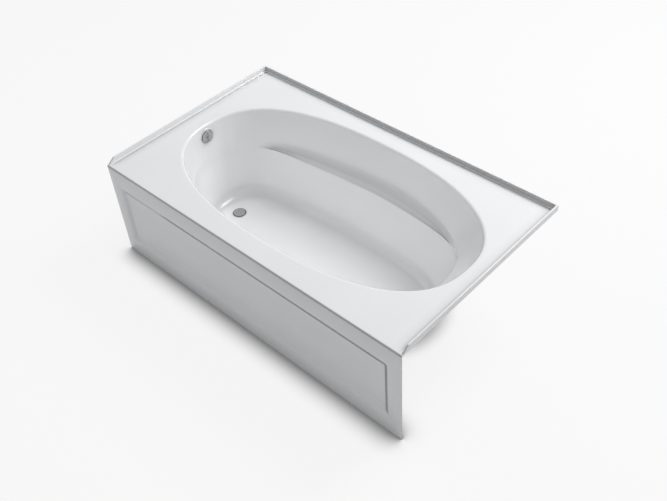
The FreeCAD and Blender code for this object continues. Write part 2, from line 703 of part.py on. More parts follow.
# ---------------------------------------------------------------------------------------------------------
# Drain: flange, gasket and shoe
# ---------------------------------------------------------------------------------------------------------
def make_drain_flange():
    body = new_body("strainer", "drain_x", "waste_shift", "basin_floor")
    profile = [
        ("neck_bore_radius", "0 - neck_drop"),
        ("neck_radius", "0 - neck_drop"),
        ("neck_radius", "0"),
        ("strainer_radius", "0"),
        ("strainer_radius", "strainer_rim / 2"),
        ("strainer_radius - strainer_rim / 2", "strainer_rim"),
        ("strainer_radius - strainer_rim_width + strainer_rim / 2", "strainer_rim"),
        ("strainer_radius - strainer_rim_width", "strainer_seat"),
        ("neck_bore_radius", "strainer_seat"),
    ]
    turned(body, outline(sketch_on(body, "XZ_Plane", "strainer_profile"), profile), "strainer_turn")
    under = "0 - cross_drop"
    reach = "(neck_bore_radius + neck_radius) / 2"
    for side, half_x, half_y in (("x", reach, "cross_width / 2"), ("y", "cross_width / 2", reach)):
        spoke = sketch_on(body, "XY_Plane", "cross_outline_" + side, under)
        rectangle(spoke, ("0 - " + half_x, half_x), ("0 - " + half_y, half_y))
        feature(body, "Pad", spoke, "cross_" + side, "cross_thickness")
    centre = ("0", "0")
    hub = circle(sketch_on(body, "XY_Plane", "hub_outline", under), centre, "cross_hub_radius")
    feature(body, "Pad", hub, "hub", "cross_thickness")
    guide = circle(sketch_on(body, "XY_Plane", "guide_outline", under), centre, "stem_radius + fit_gap")
    feature(body, "Pocket", guide, "guide", "cross_thickness", reverse=True)
    node(body, "drain_flange")


def make_drain_shoe():
    centre = ("drain_x", "waste_shift")
    gasket = ring(
        "shoe_gasket",
        "Z",
        (*centre, "shoe_top"),
        "shoe_flange_radius",
        "drain_hole_radius",
        "gasket_thickness",
    )
    node(gasket, "drain_gasket")
    tube_start = ("tee_right - socket_insert", "waste_shift", "pipe_height")
    tube_run = "drain_x - (tee_right - socket_insert)"
    flange_start = (*centre, "shoe_top - shoe_flange_thickness")
    outside = fuse(
        "shoe_outside",
        rod("shoe_cup", "Z", (*centre, "shoe_ground_gap"), "shoe_radius", "shoe_top - shoe_ground_gap"),
        rod("shoe_flange", "Z", flange_start, "shoe_flange_radius", "shoe_flange_thickness"),
        rod("shoe_tube", "X", tube_start, "tube_radius", tube_run),
    )
    bore = rod("shoe_bore", "Z", (*centre, "shoe_bottom"), "shoe_bore_radius", "shoe_top - shoe_bottom")
    tube_bore = rod("shoe_tube_bore", "X", tube_start, "tube_bore", tube_run)
    node(cut("shoe", outside, bore, tube_bore), "drain_shoe")


# ---------------------------------------------------------------------------------------------------------
# Waste pipes: overflow elbow, overflow tube, tee with its outlet, and their slip joints
# ---------------------------------------------------------------------------------------------------------
def make_elbow():
    centre = ("waste_shift", "overflow_height")
    flange_back = "elbow_face - elbow_flange_thickness"
    mouth = ("tube_x", "waste_shift", "elbow_mouth")
    outside = fuse(
        "elbow_outside",
        rod("elbow_flange", "X", (flange_back, *centre), "elbow_flange_radius", "elbow_flange_thickness"),
        rod(
            "elbow_housing",
            "X",
            ("elbow_back", *centre),
            "elbow_bore_radius + elbow_wall",
            "elbow_face - elbow_back",
        ),
        rod("elbow_socket", "Z", mouth, "socket_radius", "elbow_drop"),
    )
    bores = [
        rod(
            "elbow_bore",
            "X",
            ("elbow_back + elbow_wall", *centre),
            "elbow_bore_radius",
            "elbow_face - elbow_back - elbow_wall",
        ),
        rod("elbow_passage", "Z", mouth, "tube_bore", "elbow_drop"),
        rod("elbow_socket_bore", "Z", mouth, "socket_bore", "socket_depth"),
    ]
    tabs = []
    threads = []
    for side, sign in (("upper", "+"), ("lower", "-")):
        ends = ["overflow_height %s %s" % (sign, reach) for reach in ("tab_inner", "elbow_bore_radius")]
        ends[1] += " %s elbow_wall / 2" % sign
        if sign == "-":
            ends.reverse()
        tab = box(
            side + "_tab",
            (flange_back, "elbow_face"),
            ("waste_shift - tab_width / 2", "waste_shift + tab_width / 2"),
            ends,
        )
        tabs.append(tab)
        start = (flange_back, "waste_shift", "overflow_height %s screw_offset" % sign)
        thread = rod(side + "_thread", "X", start, "screw_radius + thread_gap", "elbow_flange_thickness")
        threads.append(thread)
    shell = cut("elbow_shell", outside, *bores)
    node(cut("elbow", fuse("elbow_with_tabs", shell, *tabs), *threads), "overflow_elbow")
    gasket = ring(
        "elbow_gasket",
        "X",
        ("elbow_face", *centre),
        "elbow_flange_radius",
        "elbow_bore_radius",
        "gasket_thickness",
    )
    node(gasket, "overflow_gasket")


def make_overflow_tube():
    down = ("tube_x", "waste_shift", "tee_top - socket_insert")
    length = "elbow_mouth - tee_top + 2 * socket_insert"
    node(ring("drop_tube", "Z", down, "tube_radius", "tube_bore", length), "overflow_tube")


def make_tee():
    level = ("waste_shift", "pipe_height")
    outlet = ("outlet_end", *level)
    centre = ("tube_x", *level)
    shoulder = doc.addObject("Part::Cone", "outlet_shoulder")
    shoulder.Placement.Rotation = TURN["X"]
    bind(shoulder, Radius1="tube_radius", Radius2="socket_radius", Height="outlet_step")
    place(shoulder, "tee_left - outlet_step", *level)
    outside = fuse(
        "tee_outside",
        rod("tee_run", "X", ("tee_left", *level), "socket_radius", "outlet_shoulder + tee_reach"),
        rod("tee_branch", "Z", centre, "socket_radius", "tee_rise"),
        rod("outlet", "X", outlet, "tube_radius", "outlet_reach"),
        shoulder,
    )
    right = ("tee_right - socket_depth", *level)
    top = ("tube_x", "waste_shift", "tee_top - socket_depth")
    bores = [
        rod("tee_run_bore", "X", outlet, "tube_bore", "outlet_reach + tee_reach"),
        rod("tee_branch_bore", "Z", centre, "tube_bore", "tee_rise"),
        rod("tee_right_socket", "X", right, "socket_bore", "socket_depth"),
        rod("tee_top_socket", "Z", top, "socket_bore", "socket_depth"),
    ]
    node(cut("tee", outside, *bores), "waste_tee")


SLIP_NUT_SIDES = 12


def slip_joint(name, axis, mouth, outwards):
    """Nut and washer on a socket whose mouth looks along +axis (outwards 1) or -axis (outwards -1)."""
    along = "XYZ".index(axis)

    def start(beyond, over):
        """Start of a piece that reaches beyond the mouth and back over the socket."""
        moved = list(mouth)
        moved[along] += " - (%s)" % (over if outwards > 0 else beyond)
        return moved

    cap = "washer_thickness + nut_shoulder"
    length = "nut_overlap + " + cap
    nut_start = start(cap, "nut_overlap")
    blank = prism(name + "_blank", axis, SLIP_NUT_SIDES, nut_start, "nut_radius", length)
    thread = rod(
        name + "_thread",
        axis,
        start("washer_thickness", "nut_overlap"),
        "socket_radius + thread_gap",
        "nut_overlap + washer_thickness",
    )
    nut = cut(name + "_nut", blank, thread, rod(name + "_opening", axis, nut_start, "socket_bore", length))
    washer_start = start("washer_thickness", "0")
    washer = ring(name + "_washer", axis, washer_start, "socket_radius", "socket_bore", "washer_thickness")
    return nut, washer


def make_slip_joints():
    down = ("tube_x", "waste_shift")
    level = ("waste_shift", "pipe_height")
    joints = [
        slip_joint("elbow_joint", "Z", (*down, "elbow_mouth"), -1),
        slip_joint("branch_joint", "Z", (*down, "tee_top"), 1),
        slip_joint("shoe_joint", "X", ("tee_right", *level), 1),
    ]
    node(fuse("nuts", *[nut for nut, washer in joints]), "slip_nuts")
    node(fuse("washers", *[washer for nut, washer in joints]), "slip_washers")


# ---------------------------------------------------------------------------------------------------------
# Overflow plate, its screws, and the bracket and pin that the trip lever turns on
# ---------------------------------------------------------------------------------------------------------
def make_overflow_plate():
    body = new_body("plate", "land_x", "waste_shift", "overflow_height", axis="X")

    def drawn(name):
        return sketch_on(body, "XY_Plane", name)

    centre = ("0", "0")
    disc = circle(drawn("plate_outline"), centre, "plate_radius")
    blank = feature(body, "Pad", disc, "plate_blank", "plate_depth")
    front = size("plate_depth") - EDGE_MATCH
    rounded(body, blank, "plate_edge", "plate_edge_radius", lambda edge: edge.BoundBox.ZMin > front)
    inside = circle(drawn("inside_outline"), centre, "plate_radius - plate_wall")
    feature(body, "Pocket", inside, "plate_hollow", "plate_depth - plate_wall", reverse=True)
    slot = rectangle(
        drawn("slot_outline"),
        ("0 - slot_half_height", "slot_half_height"),
        ("0 - slot_half_width", "slot_half_width"),
    )
    feature(body, "Pocket", slot, "slot", "plate_depth", reverse=True)
    holes = drawn("hole_outlines")
    circle(holes, ("screw_offset", "0"), "screw_hole_radius")
    circle(holes, ("0 - screw_offset", "0"), "screw_hole_radius")
    feature(body, "Pocket", holes, "holes", "plate_depth", reverse=True)
    node(body, "overflow_plate")


def make_screws():
    screws = []
    tip = "elbow_face - elbow_flange_thickness"
    for side, sign in (("upper", "+"), ("lower", "-")):
        line = ("waste_shift", "overflow_height %s screw_offset" % sign)
        shank = rod("shank_" + side, "X", (tip, *line), "screw_radius", "plate_front - (%s)" % tip)
        head = rod("head_" + side, "X", ("plate_front", *line), "screw_head_radius", "screw_head_height")
        screws.append(fuse("screw_" + side, shank, head))
    node(fuse("screws", *screws), "overflow_screws")


def make_lever_bracket():
    base_x = ("plate_inside - bracket_wall", "plate_inside")

    def about_centre(name, x, half_width, half_height):
        """A box about the overflow's centre."""
        across = ("waste_shift - " + half_width, "waste_shift + " + half_width)
        return box(name, x, across, ("overflow_height - " + half_height, "overflow_height + " + half_height))

    base = about_centre("bracket_base", base_x, "bracket_half_width", "bracket_half_height")
    window = about_centre("bracket_window", base_x, "slot_half_width", "slot_half_height")
    cheek_x = ("pivot_x - cheek_half_height", "plate_inside")
    cheek_block = about_centre("cheek_block", cheek_x, "cheek_outer", "cheek_half_height")
    cheek_space = about_centre("cheek_space", cheek_x, "cheek_inner", "cheek_half_height")
    cheeks = cut("cheeks", cheek_block, cheek_space)
    pin_start = ("pivot_x", "waste_shift - cheek_outer", "overflow_height")
    pin_length = "2 * cheek_outer"
    pin_hole = rod("pin_hole", "Y", pin_start, "lever_pin_radius + running_gap", pin_length)
    frame = fuse("bracket_frame", cut("bracket_ring", base, window), cheeks)
    node(cut("bracket", frame, pin_hole), "lever_bracket")
    node(rod("pivot_pin", "Y", pin_start, "lever_pin_radius", pin_length), "lever_pin")


# ---------------------------------------------------------------------------------------------------------
# Trip lever and the linkage that it moves down the overflow tube
# ---------------------------------------------------------------------------------------------------------
def bar(angle, length, start_half, end_half):
    """Corners of a bar that leaves the origin at an angle in degrees and changes height along its length."""

    def at(along, across):
        x = "%s * cos(%s) - (%s) * sin(%s)" % (along, angle, across, angle)
        y = "%s * sin(%s) + (%s) * cos(%s)" % (along, angle, across, angle)
        return x, y

    return [
        at("0", "0 - " + start_half),
        at(length, "0 - " + end_half),
        at(length, end_half),
        at("0", start_half),
    ]


def make_lever():
    body = new_body("lever", "pivot_x", "waste_shift", "overflow_height")
    handle_angle = "0 - handle_rest_angle"
    arm_angle = "180 - lever_half_swing"
    pivot = ("0", "0")
    handle_end = ("handle_reach * cos(%s)" % handle_angle, "handle_reach * sin(%s)" % handle_angle)
    arm_end = ("lever_arm * cos(%s)" % arm_angle, "lever_arm * sin(%s)" % arm_angle)

    def disc(name, centre, radius, width, kind="Pad"):
        sketch = circle(sketch_on(body, "XZ_Plane", name + "_outline"), centre, radius)
        feature(body, kind, sketch, name, width, midplane=True)

    def strap(name, *corners):
        sketch = outline(sketch_on(body, "XZ_Plane", name + "_outline"), bar(*corners))
        feature(body, "Pad", sketch, name, "lever_thickness", midplane=True)

    disc("lever_hub", pivot, "lever_hub_radius", "lever_thickness + 2 * fit_gap")
    strap("handle", handle_angle, "handle_reach", "handle_half_height", "handle_end_radius")
    disc("handle_end", handle_end, "handle_end_radius", "lever_thickness")
    strap("inner_arm", arm_angle, "lever_arm", "arm_half_height", "arm_half_height")
    disc("inner_arm_end", arm_end, "arm_end_radius", "lever_thickness")
    disc("link_pin", arm_end, "link_pin_radius", "2 * (fork_outer + fit_gap)")
    disc("pivot_hole", pivot, "lever_pin_radius + running_gap", "2 * lever_thickness", kind="Pocket")
    node(body, "trip_lever")


LOCKNUT_SIDES = 6


def make_linkage():
    def about_rod(name, half_x, half_y, z):
        """A box about the linkage rod."""
        return box(
            name,
            ("rod_x - (%s)" % half_x, "rod_x + (%s)" % half_x),
            ("waste_shift - " + half_y, "waste_shift + " + half_y),
            z,
        )

    fork_top = "link_pin_height + fork_above"
    block = about_rod("fork_block", "fork_half_length", "fork_outer", ("rod_top", fork_top))
    opening_z = ("link_pin_height - fork_below", fork_top)
    opening = about_rod("fork_opening", "fork_half_length", "fork_inner", opening_z)
    slot_half = "link_pin_radius + fit_gap"
    slot_reach = "lever_arm * (1 - cos(lever_half_swing)) / 2 + " + slot_half
    slot_z = ("link_pin_height - (%s)" % slot_half, "link_pin_height + " + slot_half)
    slot = about_rod("fork_slot", slot_reach, "fork_outer", slot_z)
    node(cut("fork", block, opening, slot), "linkage_yoke")

    line = ("rod_x", "waste_shift")
    long_rod = rod("long_rod", "Z", (*line, "striker_top"), "rod_radius", "rod_top - striker_top")
    node(long_rod, "linkage_rod")
    nut_start = (*line, "rod_top - locknut_height")
    blank = prism("locknut_blank", "Z", LOCKNUT_SIDES, nut_start, "locknut_radius", "locknut_height")
    thread = rod("locknut_thread", "Z", nut_start, "rod_radius + thread_gap", "locknut_height")
    node(cut("locknut", blank, thread), "linkage_locknut")
    weight = rod("weight", "Z", (*line, "striker_bottom"), "striker_radius", "striker_length")
    node(weight, "linkage_striker")


def make_rocker():
    body = new_body("rocker", "rocker_x", "waste_shift", "rocker_height")
    loop = ("rod_x - rocker_x", "loop_height - rocker_height")
    middle = ("0", "0")
    tip = ("rocker_short", "tip_height - rocker_height")
    upper = [(x, z + " + rocker_half_height") for x, z in (loop, middle, tip)]
    lower = [(x, z + " - rocker_half_height") for x, z in (tip, middle, loop)]
    strap = outline(sketch_on(body, "XZ_Plane", "strap_outline"), upper + lower)
    feature(body, "Pad", strap, "strap", "2 * rocker_half_width", midplane=True)
    for name, centre in (("loop", loop), ("belly", middle), ("tip", tip)):
        sketch = circle(sketch_on(body, "XZ_Plane", name + "_outline"), centre, name + "_radius")
        feature(body, "Pad", sketch, name, "2 * %s_half_width" % name, midplane=True)
    node(body, "rocker_arm")


# ---------------------------------------------------------------------------------------------------------
# Stopper: cap, seal, stem and the button on its foot
# ---------------------------------------------------------------------------------------------------------
def make_stopper():
    body = new_body("cap", "drain_x", "waste_shift", "stopper_bottom")
    disc = circle(sketch_on(body, "XY_Plane", "cap_outline"), ("0", "0"), "stopper_radius")
    blank = feature(body, "Pad", disc, "cap_blank", "stopper_thickness")
    top = size("stopper_thickness") - EDGE_MATCH
    rounded(body, blank, "cap_edge", "stopper_edge_radius", lambda edge: edge.BoundBox.ZMin > top)
    node(body, "stopper_cap")

    centre = ("drain_x", "waste_shift")
    hole = "stem_radius + thread_gap"
    node(ring("seal", "Z", (*centre, "seal_bottom"), "seal_radius", hole, "seal_thickness"), "stopper_seal")
    foot = (*centre, "stem_foot_height")
    node(rod("stem", "Z", foot, "stem_radius", "stopper_bottom - stem_foot_height"), "stopper_stem")
    node(ring("button", "Z", foot, "button_radius", hole, "button_thickness"), "stem_button")


# ---------------------------------------------------------------------------------------------------------
# The whole tub
# ---------------------------------------------------------------------------------------------------------
def check_all():
    """Stops before anything is written if any object failed or any piece isn't a valid solid."""
    doc.recompute()
    for item in doc.Objects:
        if "Invalid" in item.State or "Error" in item.State:
            raise SystemExit("%s (%s) failed: %s" % (item.Name, item.Label, item.State))
    for item in parts:
        shape = item.Shape
        if shape.isNull() or not shape.isValid() or not shape.Solids:
            raise SystemExit("%s has no valid solid" % item.Label)


def write_all():
    os.makedirs("parts", exist_ok=True)
    for item in parts:
        item.Shape.exportStep("parts/%s.step" % item.Label)
        low = item.Shape.BoundBox
        corners = (low.XMin, low.XMax, low.YMin, low.YMax, low.ZMin, low.ZMax)
        listed = " ".join("%8.1f" % value for value in corners)
        print("%-20s %d %s %10.2f cm3" % (item.Label, len(item.Shape.Solids), listed, item.Shape.Volume / 1000))
    print(len(parts), "pieces")


make_shell()
make_apron()
make_apron_frame()
make_deck_rails()
make_base()
make_drain_flange()
make_drain_shoe()
make_elbow()
make_overflow_tube()
make_tee()
make_slip_joints()
make_overflow_plate()
make_screws()
make_lever_bracket()
make_lever()
make_linkage()
make_rocker()
make_stopper()
check_all()
write_all()
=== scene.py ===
# %% [markdown]
# # An alcove bathtub, step by step
#
# The tub is a white acrylic shell with an oval basin, two armrest ledges and a tile flange on three sides.
# An apron with a long recessed panel closes the front, and a bright trip-lever waste sits at the left end.
# Each step first says what the piece is on the real tub and how it could be made, and then makes it.

import contextlib
import json
import math

import bmesh
import bpy
from mathutils import Matrix, Vector

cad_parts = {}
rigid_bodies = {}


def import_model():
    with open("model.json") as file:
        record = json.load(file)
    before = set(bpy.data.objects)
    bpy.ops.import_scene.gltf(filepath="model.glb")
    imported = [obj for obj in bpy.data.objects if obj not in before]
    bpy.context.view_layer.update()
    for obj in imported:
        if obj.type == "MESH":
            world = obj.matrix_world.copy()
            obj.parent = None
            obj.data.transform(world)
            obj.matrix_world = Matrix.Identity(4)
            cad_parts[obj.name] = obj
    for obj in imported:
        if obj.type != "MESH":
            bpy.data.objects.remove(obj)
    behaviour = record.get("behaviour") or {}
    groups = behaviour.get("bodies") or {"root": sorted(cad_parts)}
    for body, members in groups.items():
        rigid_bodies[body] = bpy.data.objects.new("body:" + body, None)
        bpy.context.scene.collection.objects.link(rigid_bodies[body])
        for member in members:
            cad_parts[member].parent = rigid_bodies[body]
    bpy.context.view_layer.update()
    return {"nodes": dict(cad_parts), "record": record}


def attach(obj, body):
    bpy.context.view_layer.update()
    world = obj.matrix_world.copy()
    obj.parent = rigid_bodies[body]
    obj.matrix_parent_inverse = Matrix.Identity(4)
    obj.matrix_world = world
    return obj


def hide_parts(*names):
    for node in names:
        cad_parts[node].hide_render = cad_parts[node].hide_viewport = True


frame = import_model()

# %% [markdown]
# ## Camera
#
# The photograph looks down on the tub from its front right. The camera's place and turn were worked out
# from the tub's straight edges: here its three directions are written out and put together to a matrix. A
# matrix made this way needs no tracking constraint, so nothing turns when the camera is moved.

# %% The camera
LENS = 46.77
SENSOR_WIDTH = 36
CAMERA_PLACE = (2.21896, -2.11706, 3.07897)
VIEW_RIGHT = (0.73438, 0.67648, -0.05538)
VIEW_UP = (-0.44080, 0.53739, 0.71896)
VIEW_BACK = (0.51612, -0.50358, 0.69284)

lens_data = bpy.data.cameras.new("front_right_view")
lens_data.sensor_width = SENSOR_WIDTH
lens_data.lens = LENS
camera = bpy.data.objects.new("front_right_view", lens_data)
turn = Matrix((VIEW_RIGHT, VIEW_UP, VIEW_BACK)).transposed()
camera.matrix_world = Matrix.Translation(CAMERA_PLACE) @ turn.to_4x4()
bpy.context.collection.objects.link(camera)
bpy.context.scene.camera = camera
print("camera at", tuple(round(value, 3) for value in camera.location))

# %% [markdown]
# ## Working with nodes
#
# The floor, the sky, the finishes and the rows of copies are all made of nodes. Linking every socket by
# hand takes many lines that hide what matters, so a few helpers add a node with its settings, and feed its
# inputs with numbers or with what other nodes put out.


# %% Helpers for nodes
def feed(tree, socket, value):
    """Sets a socket to a value, or links another node's output to it."""
    if isinstance(value, bpy.types.NodeSocket):
        tree.links.new(value, socket)
    else:
        socket.default_value = value


def add_node(tree, kind, inputs=None, **settings):
    """A node with its settings, and with its inputs fed by name or by number."""
    node = tree.nodes.new(kind)
    for setting, value in settings.items():
        setattr(node, setting, value)
    for socket, value in (inputs or {}).items():
        feed(tree, node.inputs[socket], value)
    return node


def calc(tree, operation, *values):
    """The result of one Math node."""
    return add_node(tree, "ShaderNodeMath", dict(enumerate(values)), operation=operation).outputs[0]


def vector_calc(tree, operation, *vectors):
    """A Vector Math node, which puts out a Vector or a Value."""
    return add_node(tree, "ShaderNodeVectorMath", dict(enumerate(vectors)), operation=operation)


def spread(tree, value, low, high, start=0.0, full=1.0, **settings):
    """A value that runs from start to full, spread over low to high and kept between them."""
    inputs = {"Value": value, "From Min": start, "From Max": full, "To Min": low, "To Max": high}
    return add_node(tree, "ShaderNodeMapRange", inputs, **settings).outputs["Result"]


def tone(tree, factor, first, second):
    """A colour between two, by a factor."""
    inputs = {"Factor": factor, "A": (*first, 1), "B": (*second, 1)}
    return add_node(tree, "ShaderNodeMix", inputs, data_type="RGBA").outputs["Result"]


def openness(tree, reach, samples):
    """1 in the open, and less where other surfaces stand nearer than the reach in metres."""
    return add_node(tree, "ShaderNodeAmbientOcclusion", {"Distance": reach}, samples=samples).outputs["AO"]


def new_material(name):
    """A material with only an output, its node tree, and the socket that takes its shader."""
    material = bpy.data.materials.new(name)
    material.use_nodes = True
    tree = material.node_tree
    tree.nodes.clear()
    return material, tree, add_node(tree, "ShaderNodeOutputMaterial").inputs["Surface"]


print("node helpers ready")

# %% [markdown]
# ## Floor, lamps and sky
#
# A studio shows white acrylic with one large soft lamp from behind and above, so that the deck is bright
# and the apron stays grey. Two weaker lamps, one past the left end and one high at the front right, lift
# what the large lamp doesn't reach. The floor is one plain plane. Light Path makes it paler for the camera
# and for reflections than it is for the light that it throws back. Where the tub stands close, the floor's
# glow is turned down: a painted shadow, the soft dark band along the apron's foot.

# %% Floor
FLOOR_REACH = 9.0
FLOOR_THROWN = (0.70, 0.70, 0.705)
FLOOR_SEEN = (0.10, 0.10, 0.10)
OPEN_GLOW = 0.865
CONTACT_GLOW = 0.1
CONTACT_REACH = 0.145
CONTACT_FULL = 0.42


def seen_directly(tree):
    """1 for camera, glossy and transmission rays, and 0 for the light that a surface throws back."""
    rays = add_node(tree, "ShaderNodeLightPath").outputs
    mirrored = calc(tree, "MAXIMUM", rays["Is Camera Ray"], rays["Is Glossy Ray"])
    return calc(tree, "MAXIMUM", mirrored, rays["Is Transmission Ray"])


def make_floor():
    """A wide square at z = 0 that glows only where it is seen, with a painted shadow where the tub stands
    close.
    """
    mesh = bpy.data.meshes.new("studio_floor")
    corners = [(x * FLOOR_REACH, y * FLOOR_REACH, 0) for x, y in ((-1, -1), (1, -1), (1, 1), (-1, 1))]
    mesh.from_pydata(corners, [], [(0, 1, 2, 3)])
    floor = bpy.data.objects.new("studio_floor", mesh)
    bpy.context.collection.objects.link(floor)
    material, tree, surface = new_material("pale_floor")
    seen = seen_directly(tree)
    plain = add_node(tree, "ShaderNodeBsdfDiffuse", {"Color": tone(tree, seen, FLOOR_THROWN, FLOOR_SEEN)})
    # Painted shadow: the floor's glow drops where the tub stands close. Only its faint diffuse part is
    # shaded by the lamps.
    shade = openness(tree, CONTACT_REACH, samples=24)
    level = spread(tree, shade, CONTACT_GLOW, OPEN_GLOW, CONTACT_FULL, interpolation_type="SMOOTHSTEP")
    strength = calc(tree, "MULTIPLY", level, seen)
    glow = add_node(tree, "ShaderNodeEmission", {"Color": (1, 1, 1, 1), "Strength": strength})
    total = add_node(tree, "ShaderNodeAddShader", {0: plain.outputs[0], 1: glow.outputs[0]})
    feed(tree, surface, total.outputs[0])
    mesh.materials.append(material)
    return floor


print("floor:", make_floor().name)


# %% Lamps and sky
def soft_lamp(name, place, target, width, power):
    """A square area lamp that faces a point."""
    data = bpy.data.lights.new(name, "AREA")
    data.shape = "SQUARE"
    data.size = width
    data.energy = power
    lamp = bpy.data.objects.new(name, data)
    lamp.location = place
    lamp.rotation_euler = (Vector(target) - Vector(place)).to_track_quat("-Z", "Y").to_euler()
    bpy.context.collection.objects.link(lamp)


soft_lamp("key_lamp", place=(1.3, 3.4, 4.4), target=(0, 0, 0.3), width=2.4, power=185)
soft_lamp("fill_lamp", place=(-3.6, -0.8, 3.2), target=(0, 0, 0.3), width=2.4, power=14)
soft_lamp("front_lamp", place=(5.2, -4.4, 6.2), target=(0, -0.5, 0.3), width=1.4, power=29)

SKY_COLOR = (0.97, 0.985, 1.0, 1)
SKY_THROWN = 0.38
SKY_SEEN = 0.95
sky = bpy.data.worlds.new("pale_sky")
sky.use_nodes = True
sky.node_tree.nodes.clear()
sky_level = spread(sky.node_tree, seen_directly(sky.node_tree), SKY_THROWN, SKY_SEEN)
sky_light = add_node(sky.node_tree, "ShaderNodeBackground", {"Color": SKY_COLOR, "Strength": sky_level})
add_node(sky.node_tree, "ShaderNodeOutputWorld", {"Surface": sky_light.outputs[0]})
bpy.context.scene.world = sky
bpy.context.scene.view_settings.view_transform = "Standard"
print("three soft lamps and a pale sky")

# %% [markdown]
# ## Shared finish effects
#
# Moulded and cast surfaces are never one flat colour: they carry cloudy tone, fine grain and faint
# scratches. Their creases also get a painted shade. Each effect is a node group that is built once, with
# its sizes as inputs, and placed in every material that shows it. The groups give only values, and the
# shader itself stays in each material.

# %% A node group of cloudy tone
NOISE_SPAN = (0.3, 0.7)
NO_PLACE = (0, 0, 0)


def group_with(name, inputs, output):
    """A shader node group with inputs {name: default}, what they give, and the socket of its one result."""
    group = bpy.data.node_groups.new(name, "ShaderNodeTree")
    for socket, default in inputs.items():
        kind = "NodeSocketFloat" if isinstance(default, float) else "NodeSocketVector"
        group.interface.new_socket(socket, in_out="INPUT", socket_type=kind).default_value = default
    group.interface.new_socket(output, in_out="OUTPUT", socket_type="NodeSocketFloat")
    return group, add_node(group, "NodeGroupInput").outputs, add_node(group, "NodeGroupOutput").inputs[0]


def make_clouds():
    """Soft tone that varies over the surface, from Low to High, in patches of about 1 / Scale metres."""
    inputs = {"Vector": NO_PLACE, "Scale": 8.0, "Detail": 4.0, "Low": 0.0, "High": 1.0}
    group, given, result = group_with("cloudy_tone", inputs, "Value")
    patches = {name: given[name] for name in ("Vector", "Scale", "Detail")}
    noise = add_node(group, "ShaderNodeTexNoise", patches)
    feed(group, result, spread(group, noise.outputs["Fac"], given["Low"], given["High"], *NOISE_SPAN))
    return group


clouds_group = make_clouds()
print("node group:", clouds_group.name)

# %% A node group of fine scratches
STREAKS = ((1.0, 0.04, 0.5), (0.05, 1.0, 0.5))
STREAK_EDGE = (0.60, 0.72)


def make_scratches():
    """Thin stretched streaks, crossed in two directions: Amount on a streak and 0 between them."""
    inputs = {"Vector": NO_PLACE, "Scale": 60.0, "Amount": 0.5}
    group, given, result = group_with("fine_scratches", inputs, "Mask")
    masks = []
    for stretch in STREAKS:
        pulled = vector_calc(group, "MULTIPLY", given["Vector"], stretch).outputs["Vector"]
        streaks = {"Vector": pulled, "Scale": given["Scale"], "Detail": 6.0}
        noise = add_node(group, "ShaderNodeTexNoise", streaks)
        masks.append(spread(group, noise.outputs["Fac"], 0.0, 1.0, *STREAK_EDGE))
    feed(group, result, calc(group, "MULTIPLY", calc(group, "MAXIMUM", *masks), given["Amount"]))
    return group


scratches_group = make_scratches()
print("node group:", scratches_group.name)


# %% A node group of painted shade in creases
def less_by(group, share, amount):
    """1 less a share of an amount."""
    return calc(group, "SUBTRACT", 1.0, calc(group, "MULTIPLY", share, amount))


def make_painted_crease_shade():
    """1 on open surface, and less in creases and narrow gaps: a painted shade where light hardly reaches.
    """
    group, given, result = group_with("creases", {"Reach": 0.02, "Amount": 0.5}, "Value")
    # Painted shade: the share of the surface that is hidden within the reach darkens the colour.
    hidden = calc(group, "SUBTRACT", 1.0, openness(group, given["Reach"], samples=16))
    feed(group, result, less_by(group, hidden, given["Amount"]))
    return group


painted_crease_shade_group = make_painted_crease_shade()
print("node group:", painted_crease_shade_group.name)

# %% [markdown]
# ## Sides that lie in the shade
#
# In the photograph the faces that look away from the large lamp are greyer than a pale room leaves them. A
# stronger lamp would show that too, but it would also bleach the deck. So a group compares the way a face
# is turned with one direction in space, and takes away a part of its tone. It reads only the surface's own
# normal, so the shade stays on the tub from wherever it is seen.


# %% A node group of shaded sides
def make_shaded_side():
    """1 on most faces, and less by Amount where a face turns along the direction in Away X, Y and Z."""
    inputs = {"Away X": 0.0, "Away Y": -1.0, "Away Z": 0.0, "Start": 0.1, "Full": 0.4, "Amount": 0.4}
    group, given, result = group_with("shaded_side", inputs, "Value")
    away = add_node(group, "ShaderNodeCombineXYZ", {axis: given["Away " + axis] for axis in "XYZ"})
    normal = add_node(group, "ShaderNodeNewGeometry").outputs["Normal"]
    turned = vector_calc(group, "DOT_PRODUCT", normal, away.outputs[0]).outputs["Value"]
    bounds = (0.0, 1.0, given["Start"], given["Full"])
    share = spread(group, turned, *bounds, interpolation_type="SMOOTHSTEP")
    feed(group, result, less_by(group, share, given["Amount"]))
    return group


shaded_side_group = make_shaded_side()
print("node group:", shaded_side_group.name)

# %% [markdown]
# ## Materials
#
# Every finish is procedural and reads Object coordinates, which lie still on each piece because all pieces
# sit at the origin. One helper starts each material with a Principled shader. Another feeds it what varies
# over the surface: its colour, its roughness and its relief.


# %% Helpers for materials
def finish_material(name, color, **sockets):
    """A Principled material, its tree, its shader's inputs and its Object coordinates. _ means a space."""
    material, tree, surface = new_material(name)
    inputs = {socket.replace("_", " "): value for socket, value in sockets.items()}
    shader = add_node(tree, "ShaderNodeBsdfPrincipled", {"Base Color": (*color, 1), **inputs})
    feed(tree, surface, shader.outputs[0])
    material.diffuse_color = (*color, 1)
    return material, tree, shader.inputs, add_node(tree, "ShaderNodeTexCoord").outputs["Object"]


def use_group(tree, group, **values):
    """Places a group in a material with its own values, and gives what it puts out."""
    return add_node(tree, "ShaderNodeGroup", values, node_tree=group).outputs[0]


def shaded_by(tree, color, *values):
    """A colour times one or more values."""
    for value in values:
        scaled = vector_calc(tree, "SCALE", color)
        feed(tree, scaled.inputs["Scale"], value)
        color = scaled.outputs[0]
    return color


